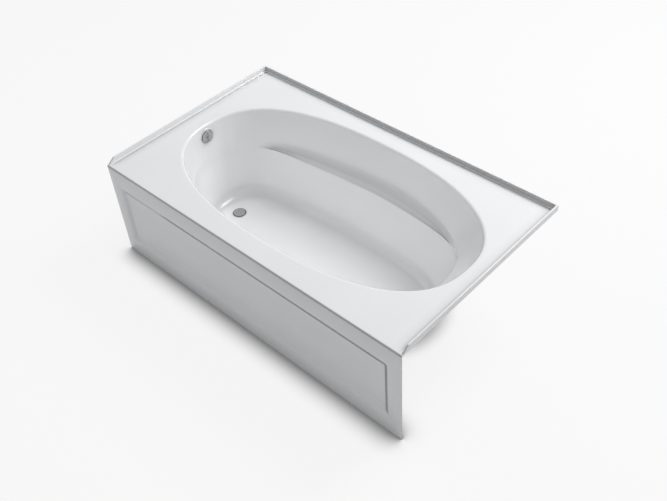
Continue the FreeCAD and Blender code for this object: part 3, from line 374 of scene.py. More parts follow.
def set_surface(tree, inputs, color, rough_by, rough, height=None, relief=None):
    """Feeds a shader its colour, roughness and relief.

    rough_by carries the roughness from the first number of rough to the second. relief is the strength and
    the depth in metres of what height raises.
    """
    feed(tree, inputs["Base Color"], color)
    feed(tree, inputs["Roughness"], spread(tree, rough_by, *rough))
    if relief:
        strength, depth = relief
        bump = add_node(tree, "ShaderNodeBump", {"Strength": strength, "Distance": depth, "Height": height})
        feed(tree, inputs["Normal"], bump.outputs["Normal"])


print("material helpers ready")

# %% [markdown]
# ### White gloss acrylic
#
# The tub's face is an acrylic sheet that is heated and sucked over a mould. Its gloss is even and hard, and
# its flats ripple very slightly. A plain white would look like paper, so the white is clouded faintly, a
# thin clear coat lies over it, a soft bump ripples its reflections, and a painted shade darkens its hollows
# and seams. The flange, the front roll and the apron share the recipe, each with its own painted shaded
# side.

# %% White gloss acrylic
CLOUD_LOW = (0.0, 0.005, 0.012)
CLOUD_HIGH = (0.025, 0.029, 0.033)
HOLLOW_REACH = 0.06
COAT = {"Coat_Weight": 0.35, "Coat_Roughness": 0.05}


def make_acrylic(name, wear, hollow_shade, seam_shade, shaded=None, seam_reach=0.012, white=0.90):
    """Clouded white under a clear coat, with painted shade in hollows, in seams and on a shaded side."""
    made = finish_material(name, [white] * 3, Roughness=0.20, Specular_IOR_Level=0.45, **COAT)
    material, tree, inputs, place = made
    cloud = use_group(tree, clouds_group, Vector=place, Scale=3.0, Detail=3.0)
    color = tone(tree, cloud, [white + part for part in CLOUD_LOW], [white + part for part in CLOUD_HIGH])
    # Painted shade: the hollows and the seams darken the white, and so does the shaded side when one is
    # given.
    shades = [use_group(tree, painted_crease_shade_group, Reach=HOLLOW_REACH, Amount=hollow_shade)]
    shades.append(use_group(tree, painted_crease_shade_group, Reach=seam_reach, Amount=seam_shade))
    if shaded:
        shades.append(use_group(tree, shaded_side_group, **shaded))
    color = shaded_by(tree, color, *shades)
    scratch = use_group(tree, scratches_group, Vector=place, Scale=90.0, Amount=wear)
    ripple = use_group(tree, clouds_group, Vector=place, Scale=22.0, Detail=2.0)
    set_surface(tree, inputs, color, scratch, rough=(0.19, 0.30), height=ripple, relief=(0.10, 0.0006))
    return material


RECESS_SHADE = {"Away X": -0.7, "Away Y": 0.0, "Away Z": -0.95, "Start": 0.10, "Full": 0.30, "Amount": 0.72}
FRONT_SHADE = {"Away X": 0.0, "Away Y": -1.0, "Away Z": 0.0, "Start": 0.10, "Full": 0.65, "Amount": 0.46}
FLANGE_SHADE = {**FRONT_SHADE, "Amount": 0.38}
acrylic = make_acrylic("white_gloss_acrylic", 0.35, 0.76, 0.80, seam_reach=0.03)
flange_acrylic = make_acrylic("white_flange_acrylic", 0.35, 0.0, 0.10, FLANGE_SHADE)
roll_acrylic = make_acrylic("white_roll_acrylic", 0.35, 0.0, 0.4, FRONT_SHADE)
# The apron's white is set lower than the shell's: painted shade on a sheet that faces away from the large
# lamp.
apron_acrylic = make_acrylic("white_apron_acrylic", 0.20, 0.0, 0.12, RECESS_SHADE, white=0.86)
print("acrylics:", [made.name for made in (acrylic, flange_acrylic, roll_acrylic, apron_acrylic)])

# %% [markdown]
# ### Glass-fibre backing
#
# Behind the acrylic, chopped glass fibre and resin are sprayed on for stiffness and rolled flat. The
# strands lie crossed and stay visible. The scratches group draws them, larger and deeper than real
# scratches.


# %% Glass-fibre backing
def make_backing():
    """A dull warm resin that is covered with short crossed strands."""
    color = (0.66, 0.64, 0.56)
    made = finish_material("glass_fibre_backing", color, Roughness=0.6, Specular_IOR_Level=0.4)
    material, tree, inputs, place = made
    cloud = use_group(tree, clouds_group, Vector=place, Scale=6.0, Detail=6.0)
    color = tone(tree, cloud, (0.56, 0.54, 0.46), (0.72, 0.70, 0.62))
    strands = use_group(tree, scratches_group, Vector=place, Scale=70.0, Amount=1.0)
    set_surface(tree, inputs, color, strands, rough=(0.68, 0.42), height=strands, relief=(0.5, 0.0015))
    return material


backing = make_backing()
print("backing:", backing.name)

# %% [markdown]
# ### Sawn timber and board
#
# The rails under the deck and the runners under the basin are sawn pine, and the boards are cut from sheet.
# Wood's growth rings are long tubes, so the same noise that clouds the acrylic is stretched along the grain
# and folded back and forth into rings. Fine pores lie over them. One pine is made for each way a rail can
# run.

# %% Sawn timber and board
GRAIN_STRETCH = 0.06
RING_FOLDS = 9.0
PORE_SHARE = 0.35


def make_wood(name, along, dark, light, ring_scale):
    """Wood with rings and pores that are stretched along one axis (0, 1 or 2), and a sawn bump."""
    material, tree, inputs, place = finish_material(name, light, Roughness=0.62, Specular_IOR_Level=0.3)
    scale = [1.0, 1.0, 1.0]
    scale[along] = GRAIN_STRETCH
    stretched = add_node(tree, "ShaderNodeMapping", {"Vector": place, "Scale": scale}).outputs[0]
    grain = use_group(tree, clouds_group, Vector=stretched, Scale=ring_scale, Detail=5.0)
    rings = calc(tree, "PINGPONG", calc(tree, "MULTIPLY", grain, RING_FOLDS), 1.0)
    pores = use_group(tree, clouds_group, Vector=stretched, Scale=400.0, Detail=2.0)
    figure = calc(tree, "MULTIPLY_ADD", pores, PORE_SHARE, calc(tree, "MULTIPLY", rings, 1 - PORE_SHARE))
    color = tone(tree, figure, dark, light)
    set_surface(tree, inputs, color, figure, rough=(0.72, 0.55), height=figure, relief=(0.35, 0.0008))
    return material


PINE_DARK = (0.50, 0.33, 0.17)
PINE_LIGHT = (0.72, 0.55, 0.34)
pine_along = []
for axis, letter in enumerate("xyz"):
    pine_along.append(make_wood("pine_along_" + letter, axis, PINE_DARK, PINE_LIGHT, 26.0))
board_wood = make_wood("board_along_x", 0, (0.52, 0.38, 0.22), (0.70, 0.56, 0.38), 11.0)
print("woods:", [wood.name for wood in pine_along], board_wood.name)

# %% [markdown]
# ### Chrome
#
# The drain, the overflow plate and their screws are brass, plated and polished. Chrome takes its look from
# the room, so its own detail is small: faint wipe marks and dried water spots in its gloss, and painted
# shade in its creases. The one plating is set at three painted brightnesses, lighter on the plate and the
# cap. Their rims get a painted reflection of a darker part of the room, from a shaded side.

# %% Chrome
SPOTTED = 0.79
COOL = 1.01


def make_chrome(name, level, shaded=None):
    """Polished plating at a painted brightness, with wipe marks, water spots and painted shade in creases.
    """
    material, tree, inputs, place = finish_material(name, [level] * 3, Roughness=0.12, Metallic=1.0)
    wipes = use_group(tree, scratches_group, Vector=place, Scale=300.0, Amount=0.6)
    spots = use_group(tree, clouds_group, Vector=place, Scale=160.0, Detail=3.0, Low=0.0, High=0.5)
    spotted = level * SPOTTED
    color = tone(tree, spots, (level, level, level * COOL), (spotted, spotted, spotted * COOL))
    # Painted shade in the plating's creases.
    shades = [use_group(tree, painted_crease_shade_group, Reach=0.004, Amount=0.9)]
    if shaded:
        shades.append(use_group(tree, shaded_side_group, **shaded))
    color = shaded_by(tree, color, *shades)
    set_surface(tree, inputs, color, calc(tree, "ADD", wipes, spots), rough=(0.10, 0.26))
    return material


# Painted reflection: the rims of the plate and of the cap darken where they turn away from their faces.
PLATE_RIM_PAINTED_REFLECTION = {"Away X": 1.0, "Away Y": 0.0, "Away Z": 0.0, "Start": 0.97, "Full": 0.70, "Amount": 0.72}
CAP_RIM_PAINTED_REFLECTION = {"Away X": 0.0, "Away Y": 0.0, "Away Z": 1.0, "Start": 0.98, "Full": 0.80, "Amount": 0.5}
# One plating at three painted brightnesses: the plate and the cap are lighter than the drain and the
# screws.
chrome = make_chrome("polished_chrome", 0.36)
painted_light_plate_chrome = make_chrome("polished_plate_chrome", 0.64, PLATE_RIM_PAINTED_REFLECTION)
painted_light_cap_chrome = make_chrome("polished_cap_chrome", 0.54, CAP_RIM_PAINTED_REFLECTION)
print("chromes:", chrome.name, painted_light_plate_chrome.name, painted_light_cap_chrome.name)

# %% [markdown]
# ### Brass, bracket steel, pipe plastic and rubber
#
# These are the hidden parts of the waste. Bare metal tarnishes in patches, and its tone and roughness drift
# together. Moulded plastic and rubber are matt, with a mottle and a fine grain from their mould.


# %% Brass, bracket steel, pipe plastic and rubber
def make_metal(name, bright, dull, rough, scale):
    """Plain metal whose tone and roughness drift together, as tarnish and drawing marks do."""
    material, tree, inputs, place = finish_material(name, bright, Roughness=rough[0], Metallic=1.0)
    drift = use_group(tree, clouds_group, Vector=place, Scale=scale, Detail=6.0)
    marks = use_group(tree, scratches_group, Vector=place, Scale=500.0, Amount=1.0)
    color = tone(tree, drift, bright, dull)
    set_surface(tree, inputs, color, drift, rough=rough, height=marks, relief=(0.15, 0.0002))
    return material


def make_moulded(name, light, dark, roughness, scale, strength):
    """Moulded plastic or rubber: a matt mottle and a fine grain."""
    made = finish_material(name, light, Roughness=roughness, Specular_IOR_Level=0.4)
    material, tree, inputs, place = made
    mottle = use_group(tree, clouds_group, Vector=place, Scale=scale, Detail=5.0)
    grain = use_group(tree, clouds_group, Vector=place, Scale=900.0, Detail=2.0)
    rough = (roughness + 0.10, roughness - 0.06)
    color = tone(tree, mottle, dark, light)
    set_surface(tree, inputs, color, mottle, rough=rough, height=grain, relief=(strength, 0.0002))
    return material


brass = make_metal("plain_brass", (0.72, 0.56, 0.29), (0.46, 0.33, 0.17), (0.28, 0.52), 70.0)
steel = make_metal("stamped_steel", (0.62, 0.63, 0.64), (0.44, 0.45, 0.47), (0.25, 0.42), 120.0)
pipe_plastic = make_moulded("pipe_plastic", (0.80, 0.80, 0.77), (0.70, 0.70, 0.67), 0.38, 30.0, 0.25)
rubber = make_moulded("black_rubber", (0.045, 0.045, 0.047), (0.025, 0.025, 0.026), 0.72, 60.0, 0.6)
print("waste finishes:", brass.name, steel.name, pipe_plastic.name, rubber.name)

# %% [markdown]
# ## The basin's shape
#
# Every level of the basin is an oval whose ends are fuller than an ellipse's: a superellipse. Halfway down,
# the long walls step in and leave an armrest on each side, so below the ledge the oval is cut by a gently
# curved line. A subdivision surface could guess this form from a few rings. Here each ring is worked out by
# the rule that the real mould follows, so the ledge tapers to nothing at both ends as it does on the tub.
# From here on all lengths are in millimetres.

# %% Oval rings
RING_POINTS = 360
CENTRE_Y = -4.0

RIM = {"centre": 20, "length": 804, "width": 416, "squareness": 2.4}
RIM_WALL = {"half": 312, "centre": -45, "radius": 5200}
ARMREST = {"centre": -40, "length": 737, "width": 386, "squareness": 2.5, "drawn_in": 26}
DRAWN_FROM = 150
DRAWN_TO = -420
DRAWN_FADE = 120
FOOT = {"centre": -70, "length": 680, "width": 300, "squareness": 2.5}
FOOT_WALL = {"half": 263, "centre": 45, "radius": 4500}
WALL_SHARPNESS = 10
FULL_LEDGE = 30


def eased(share):
    """A share held between 0 and 1 that starts and ends softly."""
    share = min(1.0, max(0.0, share))
    return share * share * (3 - 2 * share)


def oval_ring(plan, wall, level, grow=0.0, ledge_share=0.0, ledge_level=None):
    """One ring of the basin. ledge_share 1 has taken the long walls in to the ledge's edge.

    Where the ledge is wide the ring lies at ledge_level, and where it has tapered away at level.
    """
    power = 2 / plan["squareness"]
    ledge_rise = 0.0 if ledge_level is None else ledge_level - level
    points = []
    for k in range(RING_POINTS):
        angle = 2 * math.pi * k / RING_POINTS
        along, across = math.cos(angle), math.sin(angle)
        x = plan["centre"] + math.copysign((plan["length"] + grow) * abs(along) ** power, along)
        full = (plan["width"] + grow) * abs(across) ** power
        limit = wall["half"] + grow - (x - wall["centre"]) ** 2 / (2 * wall["radius"])
        total = full**WALL_SHARPNESS + limit**WALL_SHARPNESS
        narrow = full * limit / total ** (1 / WALL_SHARPNESS)
        drawn = plan.get("drawn_in", 0) * eased((DRAWN_FROM - x) / (DRAWN_FROM - DRAWN_TO))
        half_width = full + (narrow - full) * ledge_share - drawn * min(1.0, full / DRAWN_FADE)
        y = CENTRE_Y + math.copysign(half_width, across)
        points.append(Vector((x, y, level + ledge_rise * eased((full - narrow) / FULL_LEDGE))))
    return points


def rings_between(first, last, steps):
    """Rings on the straight wall between two rings, without the first and with the last."""
    return [[a.lerp(b, step / steps) for a, b in zip(first, last)] for step in range(1, steps + 1)]


def quarter(steps):
    """Angles from 0 to a right angle, with both ends."""
    return [math.pi / 2 * step / steps for step in range(steps + 1)]


print("rim ring:", len(oval_ring(RIM, RIM_WALL, 532)), "points")

# %% The wall's rings from the deck to the drain
DECK = 546.0
ROLL = 14.0
ROLL_REACH = ROLL + 3
LEDGE = 332.0
HOLLOW = 30.0
FALL = 34.0
HOLLOW_SHARE = 0.45
# The armrest's trough: the share of the way in, and the levels at its tapered ends and where it is wide.
TROUGH = (
    (0.55, 326, 325.8),
    (0.66, 324, 324.6),
    (0.75, 322, 324.2),
    (0.82, 320, 324.6),
    (0.88, 318, 325.6),
    (0.92, 316, 326.3),
    (0.95, 314, 326.4),
)
EDGE_FALL = 8.0
FOOT_TOP = 102.0
FLOOR_HOLLOW = 50.0
DRAIN = Vector((-620, -22, 52))
DRAIN_HOLE = 25.5
STEPS = {"roll": 9, "wall": 15, "hollow": 7, "edge": 6, "lower_wall": 10, "foot": 9, "floor": 8}


def basin_rings():
    """All the rings, from the rim's roll over the armrest to the floor and its hole."""
    rings = [oval_ring(RIM, RIM_WALL, DECK, ROLL_REACH)]
    for angle in quarter(STEPS["roll"]):
        level = DECK - ROLL * (1 - math.cos(angle))
        rings.append(oval_ring(RIM, RIM_WALL, level, ROLL * (1 - math.sin(angle))))
    rings += rings_between(rings[-1], oval_ring(ARMREST, RIM_WALL, LEDGE + HOLLOW), STEPS["wall"])
    for angle in quarter(STEPS["hollow"])[1:]:
        level = LEDGE + HOLLOW - FALL * math.sin(angle)
        rings.append(oval_ring(ARMREST, RIM_WALL, level, 0, HOLLOW_SHARE * (1 - math.cos(angle))))
    for share, level, ledge_level in TROUGH:
        rings.append(oval_ring(ARMREST, RIM_WALL, level, 0, share, ledge_level))
    for angle in quarter(STEPS["edge"])[1:]:
        fall = EDGE_FALL * (1 - math.cos(angle))
        edge_share = share + (1 - share) * math.sin(angle)
        rings.append(oval_ring(ARMREST, RIM_WALL, level - fall, 0, edge_share, ledge_level - fall))
    rings += rings_between(rings[-1], oval_ring(FOOT, FOOT_WALL, FOOT_TOP, 0, 1), STEPS["lower_wall"])
    for angle in quarter(STEPS["foot"])[1:]:
        level = FOOT_TOP - FLOOR_HOLLOW * math.sin(angle)
        rings.append(oval_ring(FOOT, FOOT_WALL, level, -FLOOR_HOLLOW * (1 - math.cos(angle)), 1))
    hole = [DRAIN + DRAIN_HOLE * (point - DRAIN).normalized() for point in rings[-1]]
    return rings + rings_between(rings[-1], hole, STEPS["floor"])


wall_rings = basin_rings()
print("basin:", len(wall_rings), "rings")

# %% [markdown]
# ## Deck and basin as one skin
#
# The deck is flat from the rim to the flange. Rays from the rim's centre carry each rim point out to the
# deck's rectangle, and the four rays nearest the corners are moved onto them. The wall faces behind the
# overflow are left out, and Solidify gives the skin its 5 mm wall, with the glass-fibre finish on the side
# that faces away.

# %% Deck rays
END = 914.5
FRONT = -533.5
BACK = 533.5
SHELL_WALL = 5.0
FLANGE_THICK = 8.0
COVE = 6.0
SEAM = FLANGE_THICK + COVE + 2
FRONT_ROLL = 8.0
LIP_FOOT = DECK - 10
DECK_X = END - SEAM
DECK_FRONT = FRONT + FRONT_ROLL + 0.5
DECK_BACK = BACK - SEAM
TINY = 1e-9


def deck_edge(rim_ring):
    """The rim ring carried out to the deck's rectangle."""
    middle = Vector((RIM["centre"], CENTRE_Y, DECK))
    edge = []
    for point in rim_ring:
        ray = point - middle
        reach_x = (DECK_X - middle.x if ray.x > 0 else DECK_X + middle.x) / max(abs(ray.x), TINY)
        reach_y = (DECK_BACK - middle.y if ray.y > 0 else middle.y - DECK_FRONT) / max(abs(ray.y), TINY)
        edge.append(middle + ray * min(reach_x, reach_y))
    for x in (-DECK_X, DECK_X):
        for y in (DECK_FRONT, DECK_BACK):
            corner = Vector((x, y, DECK))
            nearest = min(range(len(edge)), key=lambda k: (edge[k] - corner).length)
            edge[nearest] = corner
    return edge


edge_ring = deck_edge(wall_rings[0])
print("deck reaches", [round(max(point[axis] for point in edge_ring), 1) for axis in (0, 1)])

# %% Helpers that make a mesh
MM = 0.001
MERGE = 1e-6


def mesh_object(name, points, faces, materials):
    """A piece from points in millimetres, faces and materials."""
    mesh = bpy.data.meshes.new(name)
    mesh.from_pydata([point * MM for point in points], [], faces)
    for material in materials:
        mesh.materials.append(material)
    mesh.validate()
    piece = bpy.data.objects.new(name, mesh)
    bpy.context.collection.objects.link(piece)
    return piece


@contextlib.contextmanager
def editing(mesh):
    """Opens a mesh for editing, and writes it back."""
    bm = bmesh.new()
    bm.from_mesh(mesh)
    yield bm
    bm.to_mesh(mesh)
    bm.free()


def ring_faces(count, rings, closed_ends=False, closed_loop=False):
    """Quads between rings of the same count of points, in the order that faces the inside of a basin."""
    faces = []
    for r in range(rings if closed_loop else rings - 1):
        low = r * count
        high = (r + 1) % rings * count
        for k in range(count):
            n = (k + 1) % count
            faces.append((low + k, low + n, high + n, high + k))
    if closed_ends:
        faces.append(tuple(range(count))[::-1])
        faces.append(tuple(range((rings - 1) * count, rings * count)))
    return faces


def outward(piece):
    """Merges the doubles of a closed piece and turns its faces outwards."""
    with editing(piece.data) as bm:
        bmesh.ops.remove_doubles(bm, verts=bm.verts, dist=MERGE)
        bmesh.ops.recalc_face_normals(bm, faces=bm.faces)
    return piece


print("mesh makers ready")


# %% Helpers that finish a mesh
def smooth(piece, sharp_degrees=32):
    """Smooth shading with sharp edges above an angle."""
    limit = math.radians(sharp_degrees)
    with editing(piece.data) as bm:
        for face in bm.faces:
            face.smooth = True
        for edge in bm.edges:
            edge.smooth = len(edge.link_faces) != 2 or edge.calc_face_angle(0) < limit


def settle(piece):
    """Applies the piece's modifiers, so that its mesh is plain."""
    bpy.context.view_layer.update()
    mesh = bpy.data.meshes.new_from_object(piece.evaluated_get(bpy.context.evaluated_depsgraph_get()))
    piece.modifiers.clear()
    piece.data = mesh
    return piece


def thicken(piece, thickness):
    """Gives an open skin its wall at the back, in the second of its materials."""
    wall = piece.modifiers.new("wall", "SOLIDIFY")
    wall.thickness = thickness * MM
    wall.offset = -1
    wall.use_even_offset = False
    wall.material_offset = 1
    wall.material_offset_rim = 1
    return settle(piece)


def join(name, *pieces):
    """One piece from several, whose materials are kept."""
    bm = bmesh.new()
    materials = []
    for piece in pieces:
        start = len(bm.faces)
        bm.from_mesh(piece.data)
        bm.faces.ensure_lookup_table()
        places = []
        for material in piece.data.materials:
            if material not in materials:
                materials.append(material)
            places.append(materials.index(material))
        for face in bm.faces[start:]:
            face.material_index = places[face.material_index]
        bpy.data.objects.remove(piece)
    mesh = bpy.data.meshes.new(name)
    bm.to_mesh(mesh)
    bm.free()
    for material in materials:
        mesh.materials.append(material)
    made = bpy.data.objects.new(name, mesh)
    bpy.context.collection.objects.link(made)
    return made


print("mesh finishers ready")

# %% Deck and basin skin
OVERFLOW = Vector((0, -22, 482))
WALL_HOLE = 34.0
LEFT_WALL_X = -700.0


def make_basin_skin():
    """The deck and the basin, open behind the overflow, with their wall."""
    rings = [edge_ring] + wall_rings
    points = [point for ring in rings for point in ring]
    piece = mesh_object("basin_skin", points, ring_faces(RING_POINTS, len(rings)), [acrylic, backing])
    with editing(piece.data) as bm:
        behind = []
        for face in bm.faces:
            middle = face.calc_center_median() / MM
            off_axis = math.hypot(middle.y - OVERFLOW.y, middle.z - OVERFLOW.z)
            if middle.x < LEFT_WALL_X and off_axis < WALL_HOLE:
                behind.append(face)
        bmesh.ops.delete(bm, geom=behind, context="FACES")
    return thicken(piece, SHELL_WALL)


basin_skin = make_basin_skin()
print("basin skin:", len(basin_skin.data.polygons), "faces")

# %% [markdown]
# ## Tile flange
#
# A flange stands on the back and both ends, where the wall tiles come down over it. At the front it slopes
# down to the deck. It is a profile carried along a U: a curve bevel would round its corners, so the
# profile's points are set at each station instead, with mitred corners, and squeezed to the deck's height
# where it slopes down.

# %% The flange's profile along a U
FLANGE_RISE = 26.0
FLANGE_EDGE = 1.6
SLOPE_LENGTH = FRONT + 44 - DECK_FRONT
SLOPE_SHARES = (0, 0.25, 0.5, 0.75, 0.92, 1.0)


def arc(centre, radius, start, end, steps):
    """Points of a circular arc in a profile's plane, with both ends. Angles are in degrees."""
    points = []
    for step in range(steps + 1):
        angle = math.radians(start + (end - start) * step / steps)
        points.append((centre[0] + radius * math.cos(angle), centre[1] + radius * math.sin(angle)))
    return points


def flange_profile():
    """Pairs of distance in from the flange's outer face and height above the deck, round the profile."""
    top = FLANGE_RISE - FLANGE_EDGE
    outline = [(0, -SHELL_WALL)]
    outline += arc((FLANGE_EDGE, top), FLANGE_EDGE, 180, 90, 4)
    outline += arc((FLANGE_THICK - FLANGE_EDGE, top), FLANGE_EDGE, 90, 0, 4)
    outline += arc((FLANGE_THICK + COVE, COVE), COVE, 180, 270, 7)
    return outline + [(SEAM, 0), (SEAM, -SHELL_WALL)]


def flange_stations():
    """Stations along the U: side (-1 is left), y, mitre (1 at a corner, else 0) and share of the height."""
    one_side = [(DECK_FRONT + share * SLOPE_LENGTH, 0, share) for share in SLOPE_SHARES] + [(BACK, 1, 1)]
    return [(-1, *station) for station in one_side] + [(1, *station) for station in reversed(one_side)]


def make_flange():
    """The profile at each station, with its part above the deck squeezed to the station's height."""
    profile = flange_profile()
    stations = flange_stations()
    points = []
    for side, y, mitre, share in stations:
        for inwards, height in profile:
            rise = height * share if height > 0 else height
            points.append(Vector((side * (END - inwards), y - mitre * inwards, DECK + rise)))
    faces = ring_faces(len(profile), len(stations), closed_ends=True)
    return outward(mesh_object("flange_skin", points, faces, [flange_acrylic]))


flange_skin = make_flange()
print("flange:", len(flange_skin.data.polygons), "faces")

# %% [markdown]
# ## Rolled front edge
#
# The deck rolls down at the front to the apron. This is one profile carried straight from end to end. The
# same helper later makes the apron's foot, the bars in the drain and the blocks that cut slots.


# %% The front roll
def straight_piece(name, profile, ends, *materials):
    """A profile of (y, z) carried straight along X between two ends."""
    points = [Vector((x, y, z)) for x in ends for y, z in profile]
    return outward(mesh_object(name, points, ring_faces(len(profile), 2, closed_ends=True), materials))


def make_front_roll():
    """A quarter round with a short lip below it, as thick as the shell."""
    centre = (FRONT + FRONT_ROLL, DECK - FRONT_ROLL)
    bottom = LIP_FOOT + 0.8
    profile = [(DECK_FRONT, DECK)]
    profile += arc(centre, FRONT_ROLL, 90, 180, 12)
    profile += [(FRONT + 0.3, bottom + 0.3), (FRONT + 1.0, bottom), (FRONT + SHELL_WALL, bottom)]
    profile += arc(centre, FRONT_ROLL - SHELL_WALL, 180, 90, 6)
    profile += [(DECK_FRONT, DECK - SHELL_WALL)]
    return straight_piece("front_roll", profile, (-END, END), roll_acrylic)


front_roll = make_front_roll()
print("front roll:", len(front_roll.data.polygons), "faces")

# %% [markdown]
# ## Overflow land
#
# The end wall bends, but the overflow plate is flat, so the mould has a flat land that swells out of the
# wall. It is turned on the overflow's axis like a dish on a lathe, with a soft outer edge that sinks into
# the wall.


# %% Turned pieces
def turned_piece(name, profile, axis, origin, material, segments=64):
    """A profile of (radius, distance along the axis) turned about X or Z through an origin."""
    points = []
    for radius, along in profile:
        for k in range(segments):
            angle = 2 * math.pi * k / segments
            a, b = radius * math.cos(angle), radius * math.sin(angle)
            points.append(Vector(origin) + Vector((along, a, b) if axis == "X" else (a, b, along)))
    faces = ring_faces(segments, len(profile), closed_loop=True)
    return outward(mesh_object(name, points, faces, [material]))


LAND = -778.75
LAND_BACK = [(26, -11.5), (42, -11.5), (46, -7.5)]
LAND_EDGE = [(44.5, -4.2), (42.4, -2.2), (40.6, -0.8), (39, -0.15), (37.5, 0), (26.6, 0), (26, -0.6)]


def make_land():
    """The land's back inside the wall, its soft outer edge, its flat and its hole."""
    profile = [(radius, LAND + along) for radius, along in LAND_BACK + LAND_EDGE]
    return turned_piece("overflow_land", profile, "X", OVERFLOW, acrylic)


land = make_land()
print("land:", len(land.data.polygons), "faces")

# %% One piece for the whole shell
shell = join("tub_shell_skin", basin_skin, flange_skin, front_roll, land)
smooth(shell)
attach(shell, "tub")
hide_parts("tub_shell")
print("shell:", len(shell.data.polygons), "faces")

# %% [markdown]
# ## Apron
#
# The apron is a formed sheet: a flat frame round one long panel that is pressed 8 mm back over sloping
# sides, with soft edges, and a return along the floor. It is made of nested rounded rectangles, each with
# the same count of points, from the outer edge in over the frame and down into the recess.

# %% Nested rounded rectangles
APRON_TOP = LIP_FOOT - 0.6
APRON_WALL = 4.6
APRON_EDGE = 1.2
APRON_CORNER = 0.5
PANEL = {"x": 841.5, "bottom": 100, "top": 438, "corner": 12}
PANEL_DEPTH = 8.0
PANEL_SLOPE = 19.0
TOP_SLOPE_SHARE = 1.35
PANEL_EDGE = 1.2
PANEL_INSIDE = 60
LEAST_CORNER = 2
CORNER_STEPS = 6


def rounded_rectangle(half_x, bottom, top, corner, y):
    """Points of an upright rounded rectangle, anticlockwise as seen from the front."""
    right = half_x - corner
    low, high = bottom + corner, top - corner
    centres = ((right, low, 270), (right, high, 0), (-right, high, 90), (-right, low, 180))
    points = []
    for x, z, start in centres:
        points += [Vector((a, y, b)) for a, b in arc((x, z), corner, start, start + 90, CORNER_STEPS)]
    return points


def panel_loops():
    """The recess's loops: over its soft front edge, down its slope and over its soft back edge."""
    edge = PANEL_EDGE
    back = FRONT + PANEL_DEPTH
    front_edge = [(-edge, FRONT), (-0.3 * edge, FRONT + 0.15 * edge), (0.8 * edge, FRONT + 0.55 * edge)]
    back_edge = [(PANEL_SLOPE - edge, back - 0.55 * edge), (PANEL_SLOPE, back - 0.15 * edge)]
    loops = []
    for inset, y in front_edge + back_edge + [(PANEL_SLOPE + edge, back), (PANEL_INSIDE, back)]:
        corner = max(PANEL["corner"] - inset, LEAST_CORNER)
        top = PANEL["top"] - inset * TOP_SLOPE_SHARE
        loops.append(rounded_rectangle(PANEL["x"] - inset, PANEL["bottom"] + inset, top, corner, y))
    return loops


def make_apron():
    """The sheet's rounded outer edge, its frame and its panel, closed by one flat face."""
    loops = []
    for angle in quarter(4):
        inset = APRON_EDGE * (1 - math.cos(angle))
        y = FRONT + APRON_EDGE * (1 - math.sin(angle))
        loops.append(rounded_rectangle(END - inset, inset, APRON_TOP - inset, APRON_CORNER, y))
    loops += panel_loops()
    count = len(loops[0])
    faces = ring_faces(count, len(loops))
    faces.append(tuple(range((len(loops) - 1) * count, len(loops) * count)))
    points = [point for loop in loops for point in loop]
    return thicken(mesh_object("apron_skin", points, faces, [apron_acrylic, backing]), APRON_WALL)


apron_skin = make_apron()
print("apron:", len(apron_skin.data.polygons), "faces")

# %% The apron's return along the floor
FOOT_DEPTH = 25
FOOT_INSET = 30


def make_apron_foot():
    """The return's thin strip, with the bend that goes up inside the sheet."""
    back = FRONT + FOOT_DEPTH
    profile = [(FRONT + 3, 0.2), (back, 0.2), (back, 4.2), (back - 0.8, 5), (FRONT + 7, 5)]
    profile += [(FRONT + 5.6, 5.6), (FRONT + 5, 7), (FRONT + 3, 7)]
    return straight_piece("apron_foot", profile, (-END + FOOT_INSET, END - FOOT_INSET), backing)


apron = join("front_apron_skin", apron_skin, make_apron_foot())
smooth(apron)
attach(apron, "tub")
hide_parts("front_apron")
print("apron with its foot:", len(apron.data.polygons), "faces")

# %% [markdown]
# ## Drain
#
# The drain flange is a turned ring with a raised rim, a threaded neck below the floor and a cross that
# guides the stopper's stem. A real thread climbs. Rings of teeth look the same inside a neck and close more
# easily, so the thread is part of the turned profile. The stopper is a flat cap with a soft edge, turned as
# well.

# %% The drain's ring and neck
NECK_START = -21.5
NECK_TURNS = 10
NECK_PITCH = 2.0
NECK_TEETH = ((22.1, 0), (22.9, 0.4), (22.9, 0.55), (22.1, 0.95))


def thread(start, pitch, turns, teeth):
    """A thread's profile as rings. teeth are pairs of radius and share of the pitch."""
    return [(radius, start + (turn + share) * pitch) for turn in range(turns) for radius, share in teeth]


def make_drain_ring():
    """The rim, the stopper's seat and the threaded neck in one profile."""
    rim = [(36.5, 0), (36.5, 0.9), (36.1, 1.7), (35.3, 2.25), (34.3, 2.4), (33.2, 2.25), (32.3, 1.75)]
    seat = [(31.6, 1.3), (29.8, 1.2), (20.1, 1.2), (19.5, 0.7)]
    neck = [(19.5, -22), (22.2, -22)] + thread(NECK_START, NECK_PITCH, NECK_TURNS, NECK_TEETH) + [(22.9, 0)]
    return turned_piece("drain_ring", rim + seat + neck, "Z", DRAIN, chrome)


drain_ring = make_drain_ring()
print("drain ring:", len(drain_ring.data.polygons), "faces")

# %% [markdown]
# ## Copies in a row or in a ring
#
# Some pieces repeat: the cross's four bars, the plate's two screws, the ribs round each nut. One is
# modelled, and Geometry Nodes set it on the points of a line or of a circle. The copies are then made real,
# given their finish and left as a plain mesh.


